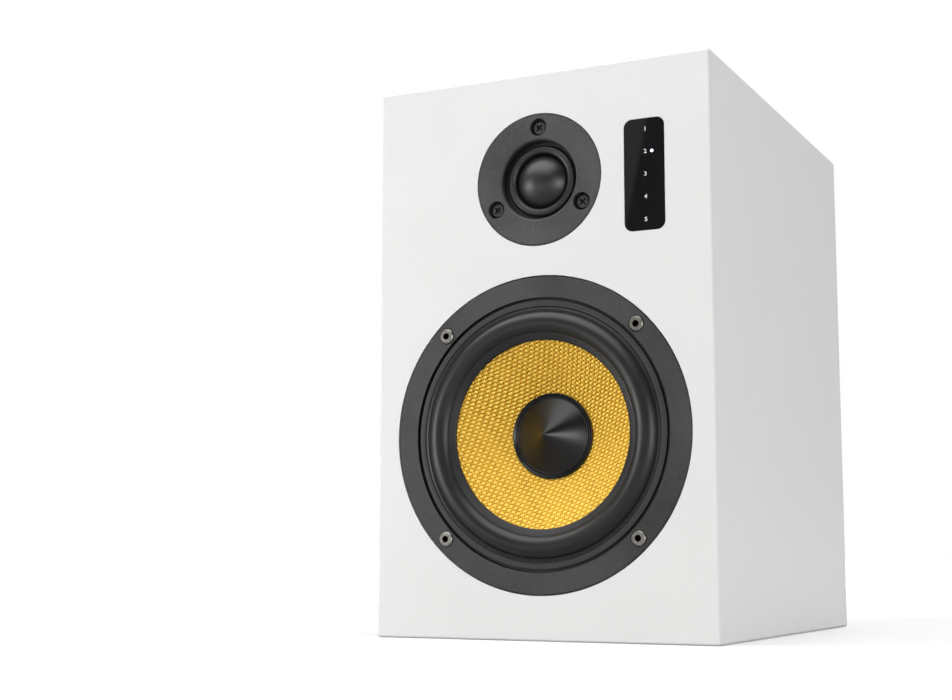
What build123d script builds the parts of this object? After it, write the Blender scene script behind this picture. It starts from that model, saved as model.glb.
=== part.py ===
from build123d import *
import os
from math import asin, cos, radians, sin, tan

# A powered two-way bookshelf speaker. Millimetres, +Z up, the front faces -Y,
# and the origin is the middle of the face that it stands on.

# Cabinet: outside sizes, board thickness and softened edges
width = 172.0
height = 270.0
depth = 236.0
wall = 15.0
edge_radius = 1.2

# Clearances shared by every fit
let_in_gap = 0.4
slip = 0.2
running = 0.05
glue = 0.2

# Woofer rings, from the rim inwards
woofer_z = 95.7
woofer_radius = 74.7
flange_face = 10.2
flange_groove = 1.5
trim_face = 2.8
rim_step = 2.3
roll_width = 10.1
lip_width = 3.4

# Woofer depths, measured back from the front of the cabinet
flange_thickness = 4.6
flange_chamfer = 0.5
rim_depth = 2.8
rim_thickness = 1.0
trim_set_back = 0.2
trim_chamfer = 0.3
roll_rise = 2.6
rubber = 0.8
bead_width = 0.7
bead_rise = 0.5
lip_thickness = 0.6
cone_edge_depth = 2.65
cone_slope = 29.0
cone_thickness = 0.8

# Dust cap: a pointed cap with a skirt that is glued to the cone
cap_radius = 18.5
cap_skirt = 2.0
cap_height = 11.6
cap_wall = 0.8
cap_nose = 0.9
cap_groove = 0.4

# Woofer motor and basket
former_radius = 13.15
former_wall = 0.4
winding_thickness = 0.6
winding_height = 12.0
iron_gap = 0.45
spider_drop = 10.0
spider_thickness = 0.6
spider_rolls = 8
spider_wave = 1.4
spider_collar = 2.5
pot_drop = 11.5
basket_wall = 2.0
basket_floor = 4.0
basket_throat = 20.0
basket_shoulder = 11.5
ledge_width = 5.0
ledge_radius = 43.5
spoke_count = 6
spoke_width = 9.0
spoke_angle = 30.0
top_plate_radius = 40.0
top_plate_thickness = 6.0
magnet_radius = 45.0
magnet_bore = 22.0
magnet_thickness = 16.0
yoke_radius = 40.0
yoke_thickness = 6.0
pole_vent = 4.0

# Woofer fastening
gasket_thickness = 0.8
gasket_margin = 0.6
woofer_screw_inset = 5.7
woofer_screw_count = 4
woofer_screw_angle = 45.0
woofer_head_radius = 3.5
woofer_head_height = 2.6
woofer_head_proud = 0.8
woofer_shank_radius = 2.0
woofer_shank_length = 14.0
hex_across_flats = 3.0
hex_depth = 1.8
head_gap = 0.35

# Tweeter, with depths measured back from the front of the cabinet
tweeter_drop = 52.6
tweeter_radius = 32.0
face_thickness = 5.0
face_chamfer = 0.5
mouth_radius = 20.2
throat_radius = 19.2
throat_depth = 1.4
collar_wall = 1.5
collar_length = 7.0
dome_radius = 13.25
dome_height = 7.0
dome_depth = 5.6
dome_wall = 0.4
fold_outer = 17.6
fold_rise = 1.6
fold_wall = 0.4
tweeter_rim = 0.5
tweeter_former_wall = 0.3
tweeter_winding = 0.3
tweeter_winding_height = 3.0
tweeter_lip = 3.0
tweeter_yoke_radius = 20.5
tweeter_cavity = 16.5
tweeter_magnet_radius = 11.5
tweeter_magnet_thickness = 6.8
tweeter_base = 4.0
fold_room = 1.2
tweeter_screw_inset = 6.4
tweeter_screw_count = 3
tweeter_screw_angle = 90.0
tweeter_head_radius = 3.4
tweeter_head_height = 2.0
tweeter_head_sink = 1.7
tweeter_head_gap = 0.85
tweeter_shank_radius = 1.6
tweeter_shank_length = 12.0
cross_length = 3.8
cross_width = 1.0
cross_depth = 1.2
cross_turn = 45.0

# Terminal strips on both drivers
strip_width = 16.0
strip_thickness = 1.6
strip_overlap = 4.0
woofer_strip_length = 17.0
tweeter_strip_height = 8.0
tag_width = 4.8
tag_thickness = 0.8
tag_spacing = 10.0
tag_length = 12.0

# Input window and what lights it
window_edge = 32.3
window_drop = 55.9
window_width = 19.6
window_height = 52.8
window_corner = 3.8
window_thickness = 2.0
window_ledge = 3.0
lamp_offset = 3.8
lamp_count = 5
lamp_pitch = 10.7
lamp_size = 2.0
lamp_height = 0.9
guide_radius = 1.6
board_thickness = 1.6
display_board_margin = 2.5
plug_width = 10.0
plug_height = 5.0
plug_length = 5.0

# Bass-reflex port
port_margin = 4.0
port_bore = 21.0
port_wall = 2.0
port_length = 100.0
port_flare = 6.0
port_flange = 4.0
port_flange_thickness = 2.0

# Amplifier plate in the back
amp_width = 112.0
amp_height = 150.0
amp_thickness = 2.0
amp_corner = 6.0
amp_lift = 22.0
amp_ledge = 9.0
amp_screw_inset = 4.5
amp_screw_head = 3.2
amp_screw_head_height = 1.8
amp_screw_shank = 1.6
amp_screw_length = 11.0

# Places on the amplifier plate: right and up from its middle, seen from behind
volume_at = (-28.0, 43.0)
hdmi_at = (4.0, 43.0)
usb_at = (29.0, 43.0)
aux_white_at = (-30.0, 11.0)
aux_red_at = (-14.0, 11.0)
optical_at = (8.0, 11.0)
clip_at = (-24.0, -35.0)
switch_at = (24.0, -21.0)
mains_at = (24.0, -53.0)

# Circuit boards behind the plate
input_gap = 12.0
input_board_size = (72.0, 59.0)
input_board_rise = 27.5
amp_board_gap = 34.4
amp_board_size = (88.0, 86.0)
amp_board_rise = -21.0
spacer_radius = 2.8
spacer_inset = 3.0
supply_core = (30.0, 26.0, 24.0)
supply_core_at = (26.0, -40.0)
supply_can_radius = 8.0
supply_can_length = 25.0
supply_can_at = (-22.0, -45.0)
supply_can_pitch = 20.0

# Volume control
encoder_side = 12.5
bushing_radius = 3.6
bushing_length = 5.0
nut_across_flats = 10.0
nut_thickness = 2.0
shaft_radius = 3.0
shaft_reach = 13.0
encoder_floor = 2.0
plunger_thickness = 1.0
push_room = 1.0
knob_radius = 10.0
knob_length = 16.0
knob_stand_off = 1.2
knob_recess_radius = 7.5
knob_recess_depth = 5.4
knob_edge = 1.0
knob_flutes = 24
flute_radius = 0.7

# Phono sockets
aux_body_radius = 4.9
aux_flange_radius = 6.0
aux_flange = 2.0
aux_shell_radius = 4.15
aux_shell_wall = 0.65
aux_shell_length = 8.5
aux_core_length = 7.5
aux_pin_radius = 1.6
aux_pin_depth = 9.0

# Flat metal sockets
hdmi_size = (15.2, 6.2)
hdmi_bevel = 2.0
usb_size = (12.0, 10.8)
usb_bevel = 2.2
shell_wall = 0.5
shell_depth = 10.0
hdmi_tongue = (11.0, 1.4)
usb_tongue = (5.6, 3.2)
tongue_length = 8.0

# Optical socket
optical_size = (9.8, 10.0)
optical_mouth = 8.2
optical_proud = 0.8
optical_depth = 9.8
shutter_gap = 0.3
shutter_thickness = 0.8
shutter_recess = 0.6
shutter_pin = 0.5
shutter_pin_reach = 0.45

# Spring-clip speaker output
clip_block = (40.0, 26.0, 8.0)
clip_body = (36.0, 22.0, 14.0)
clip_edge = 1.0
lever_pitch = 17.0
lever_width = 12.0
lever_gap = 0.3
lever_length = 12.0
lever_thickness = 2.4
lever_lean = 50.0
lever_pivot = (2.0, -1.0)
lever_hub = 2.2
lever_pin = 1.2
lever_pin_reach = 1.2
lever_slot_top = 11.4
lever_slot_room = 0.4
wire_hole_radius = 1.9
wire_hole_drop = 8.5
wire_hole_depth = 12.0

# Power switch
switch_bezel = (14.0, 19.0, 1.5)
switch_body = (12.4, 17.4, 16.0)
switch_mouth = (9.4, 15.2)
switch_cavity = 11.5
rocker_gap = 0.3
rocker_half = 6.6
rocker_foot = 5.5
rocker_crown = 3.4
rocker_valley = 2.4
rocker_root = 2.0
rocker_pivot_inset = 1.0
rocker_tilt = 8.0
rocker_pin = 1.2
rocker_pin_reach = 0.8

# Mains inlet: two round pins in a figure-of-eight recess
mains_flange = (27.0, 20.0, 2.0)
mains_body = (23.0, 16.0, 16.0)
mains_lobe = 4.9
mains_pin_pitch = 8.6
mains_recess = 12.0
mains_pin_radius = 1.2
mains_pin_length = 10.0
mains_corner = 2.0

# Crossover on the cabinet floor
crossover_size = (70.0, 60.0)
crossover_behind_magnet = 33.0
crossover_spacer = 4.0
crossover_spacer_inset = 5.0
choke_radius = 16.0
choke_bore = 7.0
choke_height = 14.0
choke_at = (-16.0, 12.0)
capacitor_radius = 7.0
capacitor_height = 20.0
capacitor_at = (20.0, 2.0)
capacitor_pitch = 20.0

# Inner wiring
wire_radius = 1.0
cable_radius = 1.6
tinsel_radius = 0.5
tinsel_x = 6.5

# Soft lining on the side walls
wadding_thickness = 8.0
wadding_margin = 8.0

# Planes and radii that follow from the sizes above
front = -depth / 2
back = depth / 2
tweeter_z = height - tweeter_drop
window_x = width / 2 - window_edge
window_z = height - window_drop
port_rim = port_bore + port_flare + port_flange
port_z = height - wall - port_margin - port_rim
amp_z = amp_lift + amp_height / 2
inside_x = width / 2 - wall

groove_radius = woofer_radius - flange_face
trim_radius = groove_radius - flange_groove
trim_bore = trim_radius - trim_face
roll_outer = trim_bore - rim_step
roll_inner = roll_outer - roll_width
roll_middle = (roll_outer + roll_inner) / 2
cone_radius = roll_inner - lip_width
woofer_screw_circle = woofer_radius - woofer_screw_inset
woofer_seat = woofer_head_height - woofer_head_proud
rim_top = rim_depth - rim_thickness


def cone_depth(radius):
    """Depth of the cone's front face at a radius."""
    return cone_edge_depth + (cone_radius - radius) * tan(radians(cone_slope))


neck_radius = former_radius + glue
ledge_depth = cone_depth(neck_radius) + spider_drop
plate_front = ledge_depth + pot_drop
magnet_front = plate_front + top_plate_thickness
yoke_front = magnet_front + magnet_thickness
woofer_back = yoke_front + yoke_thickness
can_radius = trim_radius - let_in_gap
pot_radius = ledge_radius + basket_wall
winding_radius = former_radius + winding_thickness
plate_bore = winding_radius + iron_gap
pole_radius = former_radius - former_wall - iron_gap
woofer_rebate = flange_thickness + gasket_thickness

tweeter_rebate = face_thickness + gasket_thickness
tweeter_screw_circle = tweeter_radius - tweeter_screw_inset
collar_bore = tweeter_yoke_radius + slip
collar_radius = collar_bore + collar_wall
tweeter_yoke_front = face_thickness + tweeter_rim
pole_front = tweeter_yoke_front + fold_room
tweeter_coil_radius = dome_radius - glue
tweeter_pole_radius = tweeter_coil_radius - tweeter_former_wall - iron_gap
tweeter_lip_bore = tweeter_coil_radius + tweeter_winding + iron_gap
tweeter_magnet_back = pole_front + tweeter_lip + tweeter_magnet_thickness
tweeter_back = tweeter_magnet_back + tweeter_base

plate_inside = amp_thickness
input_board_inset = plate_inside + input_gap
amp_board_inset = plate_inside + amp_board_gap


def front_plane(x, z, inset):
    """A plane that faces the listener, its local x to +X and local y to +Z."""
    return Plane(origin=(x, front + inset, z), x_dir=(1, 0, 0), z_dir=(0, -1, 0))


def section_plane(z):
    """A half-section of a round driver: local x is the radius, local y the depth."""
    return Plane(origin=(0, front, z), x_dir=(1, 0, 0), z_dir=(0, 0, 1))


def rear_plane(place, inset):
    """A plane on the amplifier plate that faces backwards, seen from behind."""
    return Plane(origin=(-place[0], back - inset, amp_z + place[1]), x_dir=(-1, 0, 0), z_dir=(0, 1, 0))


def side_plane(place):
    """A side view of a piece on the plate: local x is outwards, local y is up."""
    return Plane(origin=(-place[0], back, amp_z + place[1]), x_dir=(0, 1, 0), z_dir=(1, 0, 0))


woofer_axis = Axis((0, front, woofer_z), (0, 1, 0))
tweeter_axis = Axis((0, front, tweeter_z), (0, 1, 0))


# Cabinet: boards cut at 45 degrees where they meet, trimmed by the softened outside form
with BuildPart() as outer_form:
    with BuildSketch(Plane.XY):
        Rectangle(width, depth)
    extrude(amount=height)
    fillet(outer_form.edges(), edge_radius)


def mitred_board(outer_plane, outer_size, inner_plane, inner_size):
    """A board that is smaller inside than outside, by the mitres on its edges."""
    with BuildPart() as board:
        with BuildSketch(outer_plane):
            Rectangle(*outer_size)
        with BuildSketch(inner_plane):
            Rectangle(*inner_size)
        loft(ruled=True)
        add(outer_form.part, mode=Mode.INTERSECT)
    return board.part


def side_board(side):
    """The left board for side -1 and the right board for side 1."""
    outer = Plane(origin=(side * width / 2, 0, height / 2), x_dir=(0, 1, 0), z_dir=(side, 0, 0))
    inner = Plane(origin=(side * inside_x, wall / 2, height / 2), x_dir=(0, 1, 0), z_dir=(side, 0, 0))
    return mitred_board(outer, (depth, height), inner, (depth - wall, height - 2 * wall))


def level_board(outside_z, inside_z):
    """The top or the bottom board, from its outside face to its inside face."""
    outer = Plane(origin=(0, 0, outside_z))
    inner = Plane(origin=(0, wall / 2, inside_z))
    return mitred_board(outer, (width, depth), inner, (width - 2 * wall, depth - wall))


with BuildPart() as left_panel:
    add(side_board(-1))

with BuildPart() as right_panel:
    add(side_board(1))

with BuildPart() as top_panel:
    add(level_board(height, height - wall))

with BuildPart() as bottom_panel:
    add(level_board(0, wall))

# Front board with the two driver cut-outs and the window's opening
with BuildPart() as front_baffle:
    add(mitred_board(
        front_plane(0, height / 2, 0), (width, height),
        front_plane(0, height / 2, wall), (width - 2 * wall, height - 2 * wall),
    ))
    with Locations(front_plane(0, woofer_z, 0)):
        CounterBoreHole(can_radius + let_in_gap, woofer_radius + let_in_gap, woofer_rebate)
    with Locations(front_plane(0, tweeter_z, 0)):
        CounterBoreHole(collar_radius + let_in_gap, tweeter_radius + let_in_gap, tweeter_rebate)
    with Locations(front_plane(0, woofer_z, woofer_rebate)):
        with PolarLocations(woofer_screw_circle, woofer_screw_count, woofer_screw_angle):
            Hole(woofer_shank_radius + slip, wall - woofer_rebate)
    with Locations(front_plane(0, tweeter_z, tweeter_rebate)):
        with PolarLocations(tweeter_screw_circle, tweeter_screw_count, tweeter_screw_angle):
            Hole(tweeter_shank_radius + slip, wall - tweeter_rebate)
    with BuildSketch(front_plane(window_x, window_z, 0)):
        RectangleRounded(window_width + 2 * slip, window_height + 2 * slip, window_corner + slip)
    extrude(amount=-window_thickness, mode=Mode.SUBTRACT)
    with BuildSketch(front_plane(window_x, window_z, 0)):
        Rectangle(window_width - 2 * window_ledge, window_height - 2 * window_ledge)
    extrude(amount=-wall, mode=Mode.SUBTRACT)

# Back board, set between the others, with the plate's and the port's openings
with BuildPart() as rear_panel:
    with BuildSketch(Plane(origin=(0, back, height / 2), x_dir=(-1, 0, 0), z_dir=(0, 1, 0))):
        Rectangle(width - 2 * wall, height - 2 * wall)
    extrude(amount=-wall)
    with BuildSketch(rear_plane((0, 0), 0)):
        RectangleRounded(amp_width + 2 * slip, amp_height + 2 * slip, amp_corner + slip)
    extrude(amount=-amp_thickness, mode=Mode.SUBTRACT)
    with BuildSketch(rear_plane((0, 0), 0)):
        Rectangle(amp_width - 2 * amp_ledge, amp_height - 2 * amp_ledge)
    extrude(amount=-wall, mode=Mode.SUBTRACT)
    with Locations(rear_plane((0, 0), amp_thickness)):
        with GridLocations(amp_width - 2 * amp_screw_inset, amp_height / 2 - amp_screw_inset, 2, 3):
            Hole(amp_screw_shank + slip, amp_screw_length)
    with Locations(rear_plane((0, port_z - amp_z), 0)):
        CounterBoreHole(
            port_bore + port_wall + let_in_gap,
            port_rim + let_in_gap,
            port_flange_thickness,
        )

# Woofer basket: flange, can, open spokes and the pot that carries the motor
with BuildPart() as woofer_basket:
    with BuildSketch(section_plane(woofer_z)):
        with BuildLine():
            Polyline(
                (trim_bore - slip, rim_depth),
                (groove_radius, rim_depth),
                (groove_radius, 0),
                (woofer_radius - flange_chamfer, 0),
                (woofer_radius, flange_chamfer),
                (woofer_radius, flange_thickness),
                (can_radius, flange_thickness),
                (can_radius, basket_shoulder),
                (pot_radius, ledge_depth + basket_wall),
                (pot_radius, plate_front),
                (basket_throat, plate_front),
                (basket_throat, plate_front - basket_floor),
                (ledge_radius - ledge_width, plate_front - basket_floor),
                (ledge_radius - ledge_width, ledge_depth),
                (ledge_radius, ledge_depth),
                (can_radius - basket_wall, basket_shoulder),
                (can_radius - basket_wall, flange_thickness),
                (trim_bore - slip, flange_thickness),
                close=True,
            )
        make_face()
    revolve(axis=woofer_axis)
    with BuildSketch(front_plane(0, woofer_z, ledge_depth - basket_wall)):
        Circle(woofer_radius)
        Circle(ledge_radius, mode=Mode.SUBTRACT)
        with PolarLocations(woofer_radius / 2, spoke_count, spoke_angle):
            Rectangle(woofer_radius, spoke_width, mode=Mode.SUBTRACT)
    extrude(amount=ledge_depth - basket_wall - 2 * flange_thickness, mode=Mode.SUBTRACT)
    with Locations(front_plane(0, woofer_z, 0)):
        with PolarLocations(woofer_screw_circle, woofer_screw_count, woofer_screw_angle):
            CounterBoreHole(
                woofer_shank_radius + slip,
                woofer_head_radius + head_gap,
                woofer_seat,
                flange_thickness,
            )

with BuildPart() as woofer_trim_ring:
    with BuildSketch(front_plane(0, woofer_z, rim_top)):
        Circle(trim_radius)
        Circle(trim_bore, mode=Mode.SUBTRACT)
    extrude(amount=rim_top - trim_set_back)
    chamfer(woofer_trim_ring.faces().sort_by(Axis.Y)[0].edges(), trim_chamfer)

# Rubber surround: clamped rim, bead, half roll and the lip glued on the cone
with BuildPart() as woofer_surround:
    with BuildSketch(section_plane(woofer_z)):
        with BuildLine():
            bead_outer = roll_outer + 2 * bead_width
            bead_inner = roll_outer + bead_width
            lip_back = cone_depth(cone_radius) - glue
            foot_back = cone_depth(roll_inner + rubber) - glue
            foot_top = cone_depth(roll_inner) - glue - lip_thickness
            Polyline(
                (bead_outer, rim_top),
                (groove_radius - slip, rim_top),
                (groove_radius - slip, rim_depth),
                (roll_outer - rubber, rim_depth),
            )
            ThreePointArc(
                (roll_outer - rubber, rim_depth),
                (roll_middle, rubber - roll_rise),
                (roll_inner + rubber, foot_back),
            )
            Polyline(
                (roll_inner + rubber, foot_back),
                (cone_radius, lip_back),
                (cone_radius, lip_back - lip_thickness),
                (roll_inner, foot_top),
            )
            ThreePointArc((roll_inner, foot_top), (roll_middle, -roll_rise), (roll_outer, rim_top))
            Line((roll_outer, rim_top), (bead_inner, rim_top))
            ThreePointArc(
                (bead_inner, rim_top),
                ((bead_inner + bead_outer) / 2, rim_top - bead_rise),
                (bead_outer, rim_top),
            )
        make_face()
    revolve(axis=woofer_axis)

with BuildPart() as woofer_cone:
    with BuildSketch(section_plane(woofer_z)):
        with BuildLine():
            cone_rim = roll_inner - slip
            Polyline(
                (neck_radius, cone_depth(neck_radius)),
                (cone_rim, cone_depth(cone_rim)),
                (cone_rim, cone_depth(cone_rim) + cone_thickness),
                (neck_radius, cone_depth(neck_radius) + cone_thickness),
                close=True,
            )
        make_face()
    revolve(axis=woofer_axis)

with BuildPart() as woofer_dust_cap:
    with BuildSketch(section_plane(woofer_z)):
        with BuildLine():
            skirt_radius = cap_radius + cap_skirt
            skirt_back = cone_depth(skirt_radius) - glue
            cap_back = cone_depth(cap_radius) - glue
            cap_foot = cap_back - cap_wall
            cap_tip = cap_foot - cap_height
            cap_rise = cap_height / cap_radius
            Line((0, cap_tip + cap_wall), (0, cap_tip))
            ThreePointArc(
                (0, cap_tip),
                (cap_nose / 2, cap_tip + cap_rise * cap_nose / 4),
                (cap_nose, cap_tip + cap_rise * cap_nose),
            )
            Polyline(
                (cap_nose, cap_tip + cap_rise * cap_nose),
                (cap_radius, cap_foot),
                (cap_radius, cap_foot + cap_groove),
                (cap_radius + cap_groove, cap_foot + cap_groove),
                (cap_radius + cap_groove, cap_foot - cap_groove),
                (skirt_radius, skirt_back - cap_wall),
                (skirt_radius, skirt_back),
                (cap_radius - cap_wall, cone_depth(cap_radius - cap_wall) - glue),
                (cap_radius - cap_wall, cap_foot + cap_wall),
                (0, cap_tip + cap_wall),
            )
        make_face()
    revolve(axis=woofer_axis)

# Former and winding as one wound tube, centred on the top plate
with BuildPart() as woofer_voice_coil:
    with BuildSketch(section_plane(woofer_z)):
        with BuildLine():
            winding_front = plate_front + (top_plate_thickness - winding_height) / 2
            winding_back = winding_front + winding_height
            former_front = cone_depth(neck_radius)
            former_bore = former_radius - former_wall
            Polyline(
                (former_bore, former_front),
                (former_radius, former_front),
                (former_radius, winding_front),
                (winding_radius, winding_front),
                (winding_radius, winding_back),
                (former_bore, winding_back),
                close=True,
            )
        make_face()
    revolve(axis=woofer_axis)

# Spider: flat collar, pressed corrugations and a flat rim on the basket's ledge
spider_front = ledge_depth - spider_thickness
spider_inner = neck_radius + spider_collar
spider_outer = ledge_radius - ledge_width
spider_step = (spider_outer - spider_inner) / spider_rolls

with BuildPart() as woofer_spider:
    with BuildSketch(section_plane(woofer_z)):
        with BuildLine():
            for roll in range(spider_rolls):
                start = spider_inner + roll * spider_step
                wave = spider_wave if roll % 2 else -spider_wave
                for face in (spider_front, ledge_depth):
                    Polyline(
                        (start, face),
                        (start + spider_step / 4, face + wave),
                        (start + 3 * spider_step / 4, face + wave),
                        (start + spider_step, face),
                    )
            Polyline(
                (spider_inner, spider_front),
                (neck_radius, spider_front),
                (neck_radius, ledge_depth),
                (spider_inner, ledge_depth),
            )
            Polyline(
                (spider_outer, spider_front),
                (ledge_radius - slip, spider_front),
                (ledge_radius - slip, ledge_depth),
                (spider_outer, ledge_depth),
            )
        make_face()
    revolve(axis=woofer_axis)

with BuildPart() as woofer_top_plate:
    with BuildSketch(front_plane(0, woofer_z, plate_front)):
        Circle(top_plate_radius)
        Circle(plate_bore, mode=Mode.SUBTRACT)
    extrude(amount=-top_plate_thickness)

with BuildPart() as woofer_magnet:
    with BuildSketch(front_plane(0, woofer_z, magnet_front)):
        Circle(magnet_radius)
        Circle(magnet_bore, mode=Mode.SUBTRACT)
    extrude(amount=-magnet_thickness)
    chamfer(woofer_magnet.edges().filter_by(GeomType.CIRCLE).group_by(SortBy.RADIUS)[-1], flange_chamfer)

with BuildPart() as woofer_yoke:
    with BuildSketch(front_plane(0, woofer_z, yoke_front)):
        Circle(yoke_radius)
    extrude(amount=-yoke_thickness)
    with BuildSketch(front_plane(0, woofer_z, yoke_front)):
        Circle(pole_radius)
    extrude(amount=yoke_front - plate_front)
    with Locations(front_plane(0, woofer_z, plate_front)):
        Hole(pole_vent)
    chamfer(woofer_yoke.edges().filter_by(GeomType.CIRCLE).group_by(SortBy.RADIUS)[-1], flange_chamfer)

# Hex-socket screws round the woofer
with BuildPart() as woofer_screws:
    with BuildSketch(front_plane(0, woofer_z, woofer_seat)):
        with PolarLocations(woofer_screw_circle, woofer_screw_count, woofer_screw_angle):
            Circle(woofer_head_radius)
    extrude(amount=woofer_head_height)
    chamfer(woofer_screws.faces().group_by(Axis.Y)[0].edges(), flange_chamfer)
    with BuildSketch(front_plane(0, woofer_z, woofer_seat)):
        with PolarLocations(woofer_screw_circle, woofer_screw_count, woofer_screw_angle):
            Circle(woofer_shank_radius)
    extrude(amount=-woofer_shank_length + woofer_seat)
    with BuildSketch(front_plane(0, woofer_z, -woofer_head_proud)):
        with PolarLocations(woofer_screw_circle, woofer_screw_count, woofer_screw_angle):
            RegularPolygon(hex_across_flats / 2, 6, major_radius=False)
    extrude(amount=-hex_depth, mode=Mode.SUBTRACT)

# Tweeter faceplate with its rounded mouth and the collar that holds the motor
with BuildPart() as tweeter_faceplate:
    with BuildSketch(section_plane(tweeter_z)):
        with BuildLine():
            mouth_middle = (throat_radius + mouth_radius) / 2
            ThreePointArc(
                (mouth_radius, 0),
                (mouth_middle - (mouth_radius - throat_radius) / 5, throat_depth / 3),
                (throat_radius, throat_depth),
            )
            Polyline(
                (throat_radius, throat_depth),
                (throat_radius, face_thickness),
                (collar_bore, face_thickness),
                (collar_bore, face_thickness + collar_length),
                (collar_radius, face_thickness + collar_length),
                (collar_radius, face_thickness),
                (tweeter_radius, face_thickness),
                (tweeter_radius, face_chamfer),
                (tweeter_radius - face_chamfer, 0),
                (mouth_radius, 0),
            )
        make_face()
    revolve(axis=tweeter_axis)
    with Locations(front_plane(0, tweeter_z, 0)):
        with PolarLocations(tweeter_screw_circle, tweeter_screw_count, tweeter_screw_angle):
            CounterBoreHole(
                tweeter_shank_radius + slip,
                tweeter_head_radius + tweeter_head_gap,
                tweeter_head_sink + tweeter_head_height,
                face_thickness,
            )

with BuildPart() as tweeter_surround:
    with BuildSketch(section_plane(tweeter_z)):
        with BuildLine():
            fold_inner = dome_radius + glue
            fold_middle = (fold_outer + fold_inner) / 2
            fold_foot = dome_depth - fold_wall
            Polyline(
                (fold_outer, face_thickness),
                (tweeter_yoke_radius, face_thickness),
                (tweeter_yoke_radius, tweeter_yoke_front),
                (fold_outer - fold_wall, tweeter_yoke_front),
            )
            ThreePointArc(
                (fold_outer - fold_wall, tweeter_yoke_front),
                (fold_middle, face_thickness - fold_rise + fold_wall),
                (fold_inner + fold_wall, dome_depth),
            )
            Polyline((fold_inner + fold_wall, dome_depth), (fold_inner, dome_depth), (fold_inner, fold_foot))
            ThreePointArc(
                (fold_inner, fold_foot),
                (fold_middle, face_thickness - fold_rise),
                (fold_outer, face_thickness),
            )
        make_face()
    revolve(axis=tweeter_axis)


def cap_point(radius, rise, share):
    """A point on a spherical cap, a share of the way from its top to its rim."""
    ball = (radius**2 + rise**2) / (2 * rise)
    angle = share * asin(radius / ball)
    return (ball * sin(angle), dome_depth - rise + ball * (1 - cos(angle)))


with BuildPart() as tweeter_dome:
    with BuildSketch(section_plane(tweeter_z)):
        with BuildLine():
            inner_radius = dome_radius - dome_wall
            inner_height = dome_height - dome_wall
            ThreePointArc(
                (0, dome_depth - dome_height),
                cap_point(dome_radius, dome_height, 0.5),
                (dome_radius, dome_depth),
            )
            Line((dome_radius, dome_depth), (inner_radius, dome_depth))
            ThreePointArc(
                (inner_radius, dome_depth),
                cap_point(inner_radius, inner_height, 0.5),
                (0, dome_depth - inner_height),
            )
            Line((0, dome_depth - inner_height), (0, dome_depth - dome_height))
        make_face()
    revolve(axis=tweeter_axis)

with BuildPart() as tweeter_voice_coil:
    with BuildSketch(section_plane(tweeter_z)):
        with BuildLine():
            tweeter_coil_bore = tweeter_coil_radius - tweeter_former_wall
            tweeter_winding_radius = tweeter_coil_radius + tweeter_winding
            tweeter_winding_back = pole_front + tweeter_winding_height
            Polyline(
                (tweeter_coil_bore, dome_depth),
                (tweeter_coil_radius, dome_depth),
                (tweeter_coil_radius, pole_front),
                (tweeter_winding_radius, pole_front),
                (tweeter_winding_radius, tweeter_winding_back),
                (tweeter_coil_bore, tweeter_winding_back),
                close=True,
            )
        make_face()
    revolve(axis=tweeter_axis)

with BuildPart() as tweeter_pole_disc:
    with BuildSketch(front_plane(0, tweeter_z, pole_front)):
        Circle(tweeter_pole_radius)
    extrude(amount=-tweeter_lip)

with BuildPart() as tweeter_magnet:
    with BuildSketch(front_plane(0, tweeter_z, pole_front + tweeter_lip)):
        Circle(tweeter_magnet_radius)
    extrude(amount=-tweeter_magnet_thickness)

with BuildPart() as tweeter_yoke:
    with BuildSketch(section_plane(tweeter_z)):
        with BuildLine():
            Polyline(
                (0, tweeter_magnet_back),
                (tweeter_cavity, tweeter_magnet_back),
                (tweeter_cavity, pole_front + tweeter_lip),
                (tweeter_lip_bore, pole_front + tweeter_lip),
                (tweeter_lip_bore, pole_front),
                (fold_outer + slip, pole_front),
                (fold_outer + slip, tweeter_yoke_front),
                (tweeter_yoke_radius, tweeter_yoke_front),
                (tweeter_yoke_radius, tweeter_back),
                (0, tweeter_back),
                close=True,
            )
        make_face()
    revolve(axis=tweeter_axis)

# Cross-head screws round the tweeter
with BuildPart() as tweeter_screws:
    with BuildSketch(front_plane(0, tweeter_z, tweeter_head_sink + tweeter_head_height)):
        with PolarLocations(tweeter_screw_circle, tweeter_screw_count, tweeter_screw_angle):
            Circle(tweeter_head_radius)
    extrude(amount=tweeter_head_height)
    fillet(tweeter_screws.faces().group_by(Axis.Y)[0].edges(), tweeter_head_height / 2)
    with BuildSketch(front_plane(0, tweeter_z, tweeter_head_sink + tweeter_head_height)):
        with PolarLocations(tweeter_screw_circle, tweeter_screw_count, tweeter_screw_angle):
            Circle(tweeter_shank_radius)
    extrude(amount=-tweeter_shank_length + tweeter_head_sink + tweeter_head_height)
    with BuildSketch(front_plane(0, tweeter_z, tweeter_head_sink)):
        with PolarLocations(tweeter_screw_circle, tweeter_screw_count, tweeter_screw_angle, rotate=False):
            Rectangle(cross_length, cross_width, rotation=cross_turn)
            Rectangle(cross_width, cross_length, rotation=cross_turn)
    extrude(amount=-cross_depth, mode=Mode.SUBTRACT)

# Foam gaskets behind both flanges
with BuildPart() as driver_gaskets:
    with BuildSketch(front_plane(0, woofer_z, flange_thickness)):
        Circle(woofer_radius - gasket_margin)
        Circle(can_radius + let_in_gap, mode=Mode.SUBTRACT)
        with PolarLocations(woofer_screw_circle, woofer_screw_count, woofer_screw_angle):
            Circle(woofer_shank_radius + slip, mode=Mode.SUBTRACT)
    extrude(amount=-gasket_thickness)
    with BuildSketch(front_plane(0, tweeter_z, face_thickness)):
        Circle(tweeter_radius - gasket_margin)
        Circle(collar_radius + let_in_gap, mode=Mode.SUBTRACT)
        with PolarLocations(tweeter_screw_circle, tweeter_screw_count, tweeter_screw_angle):
            Circle(tweeter_shank_radius + slip, mode=Mode.SUBTRACT)
    extrude(amount=-gasket_thickness)

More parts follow.
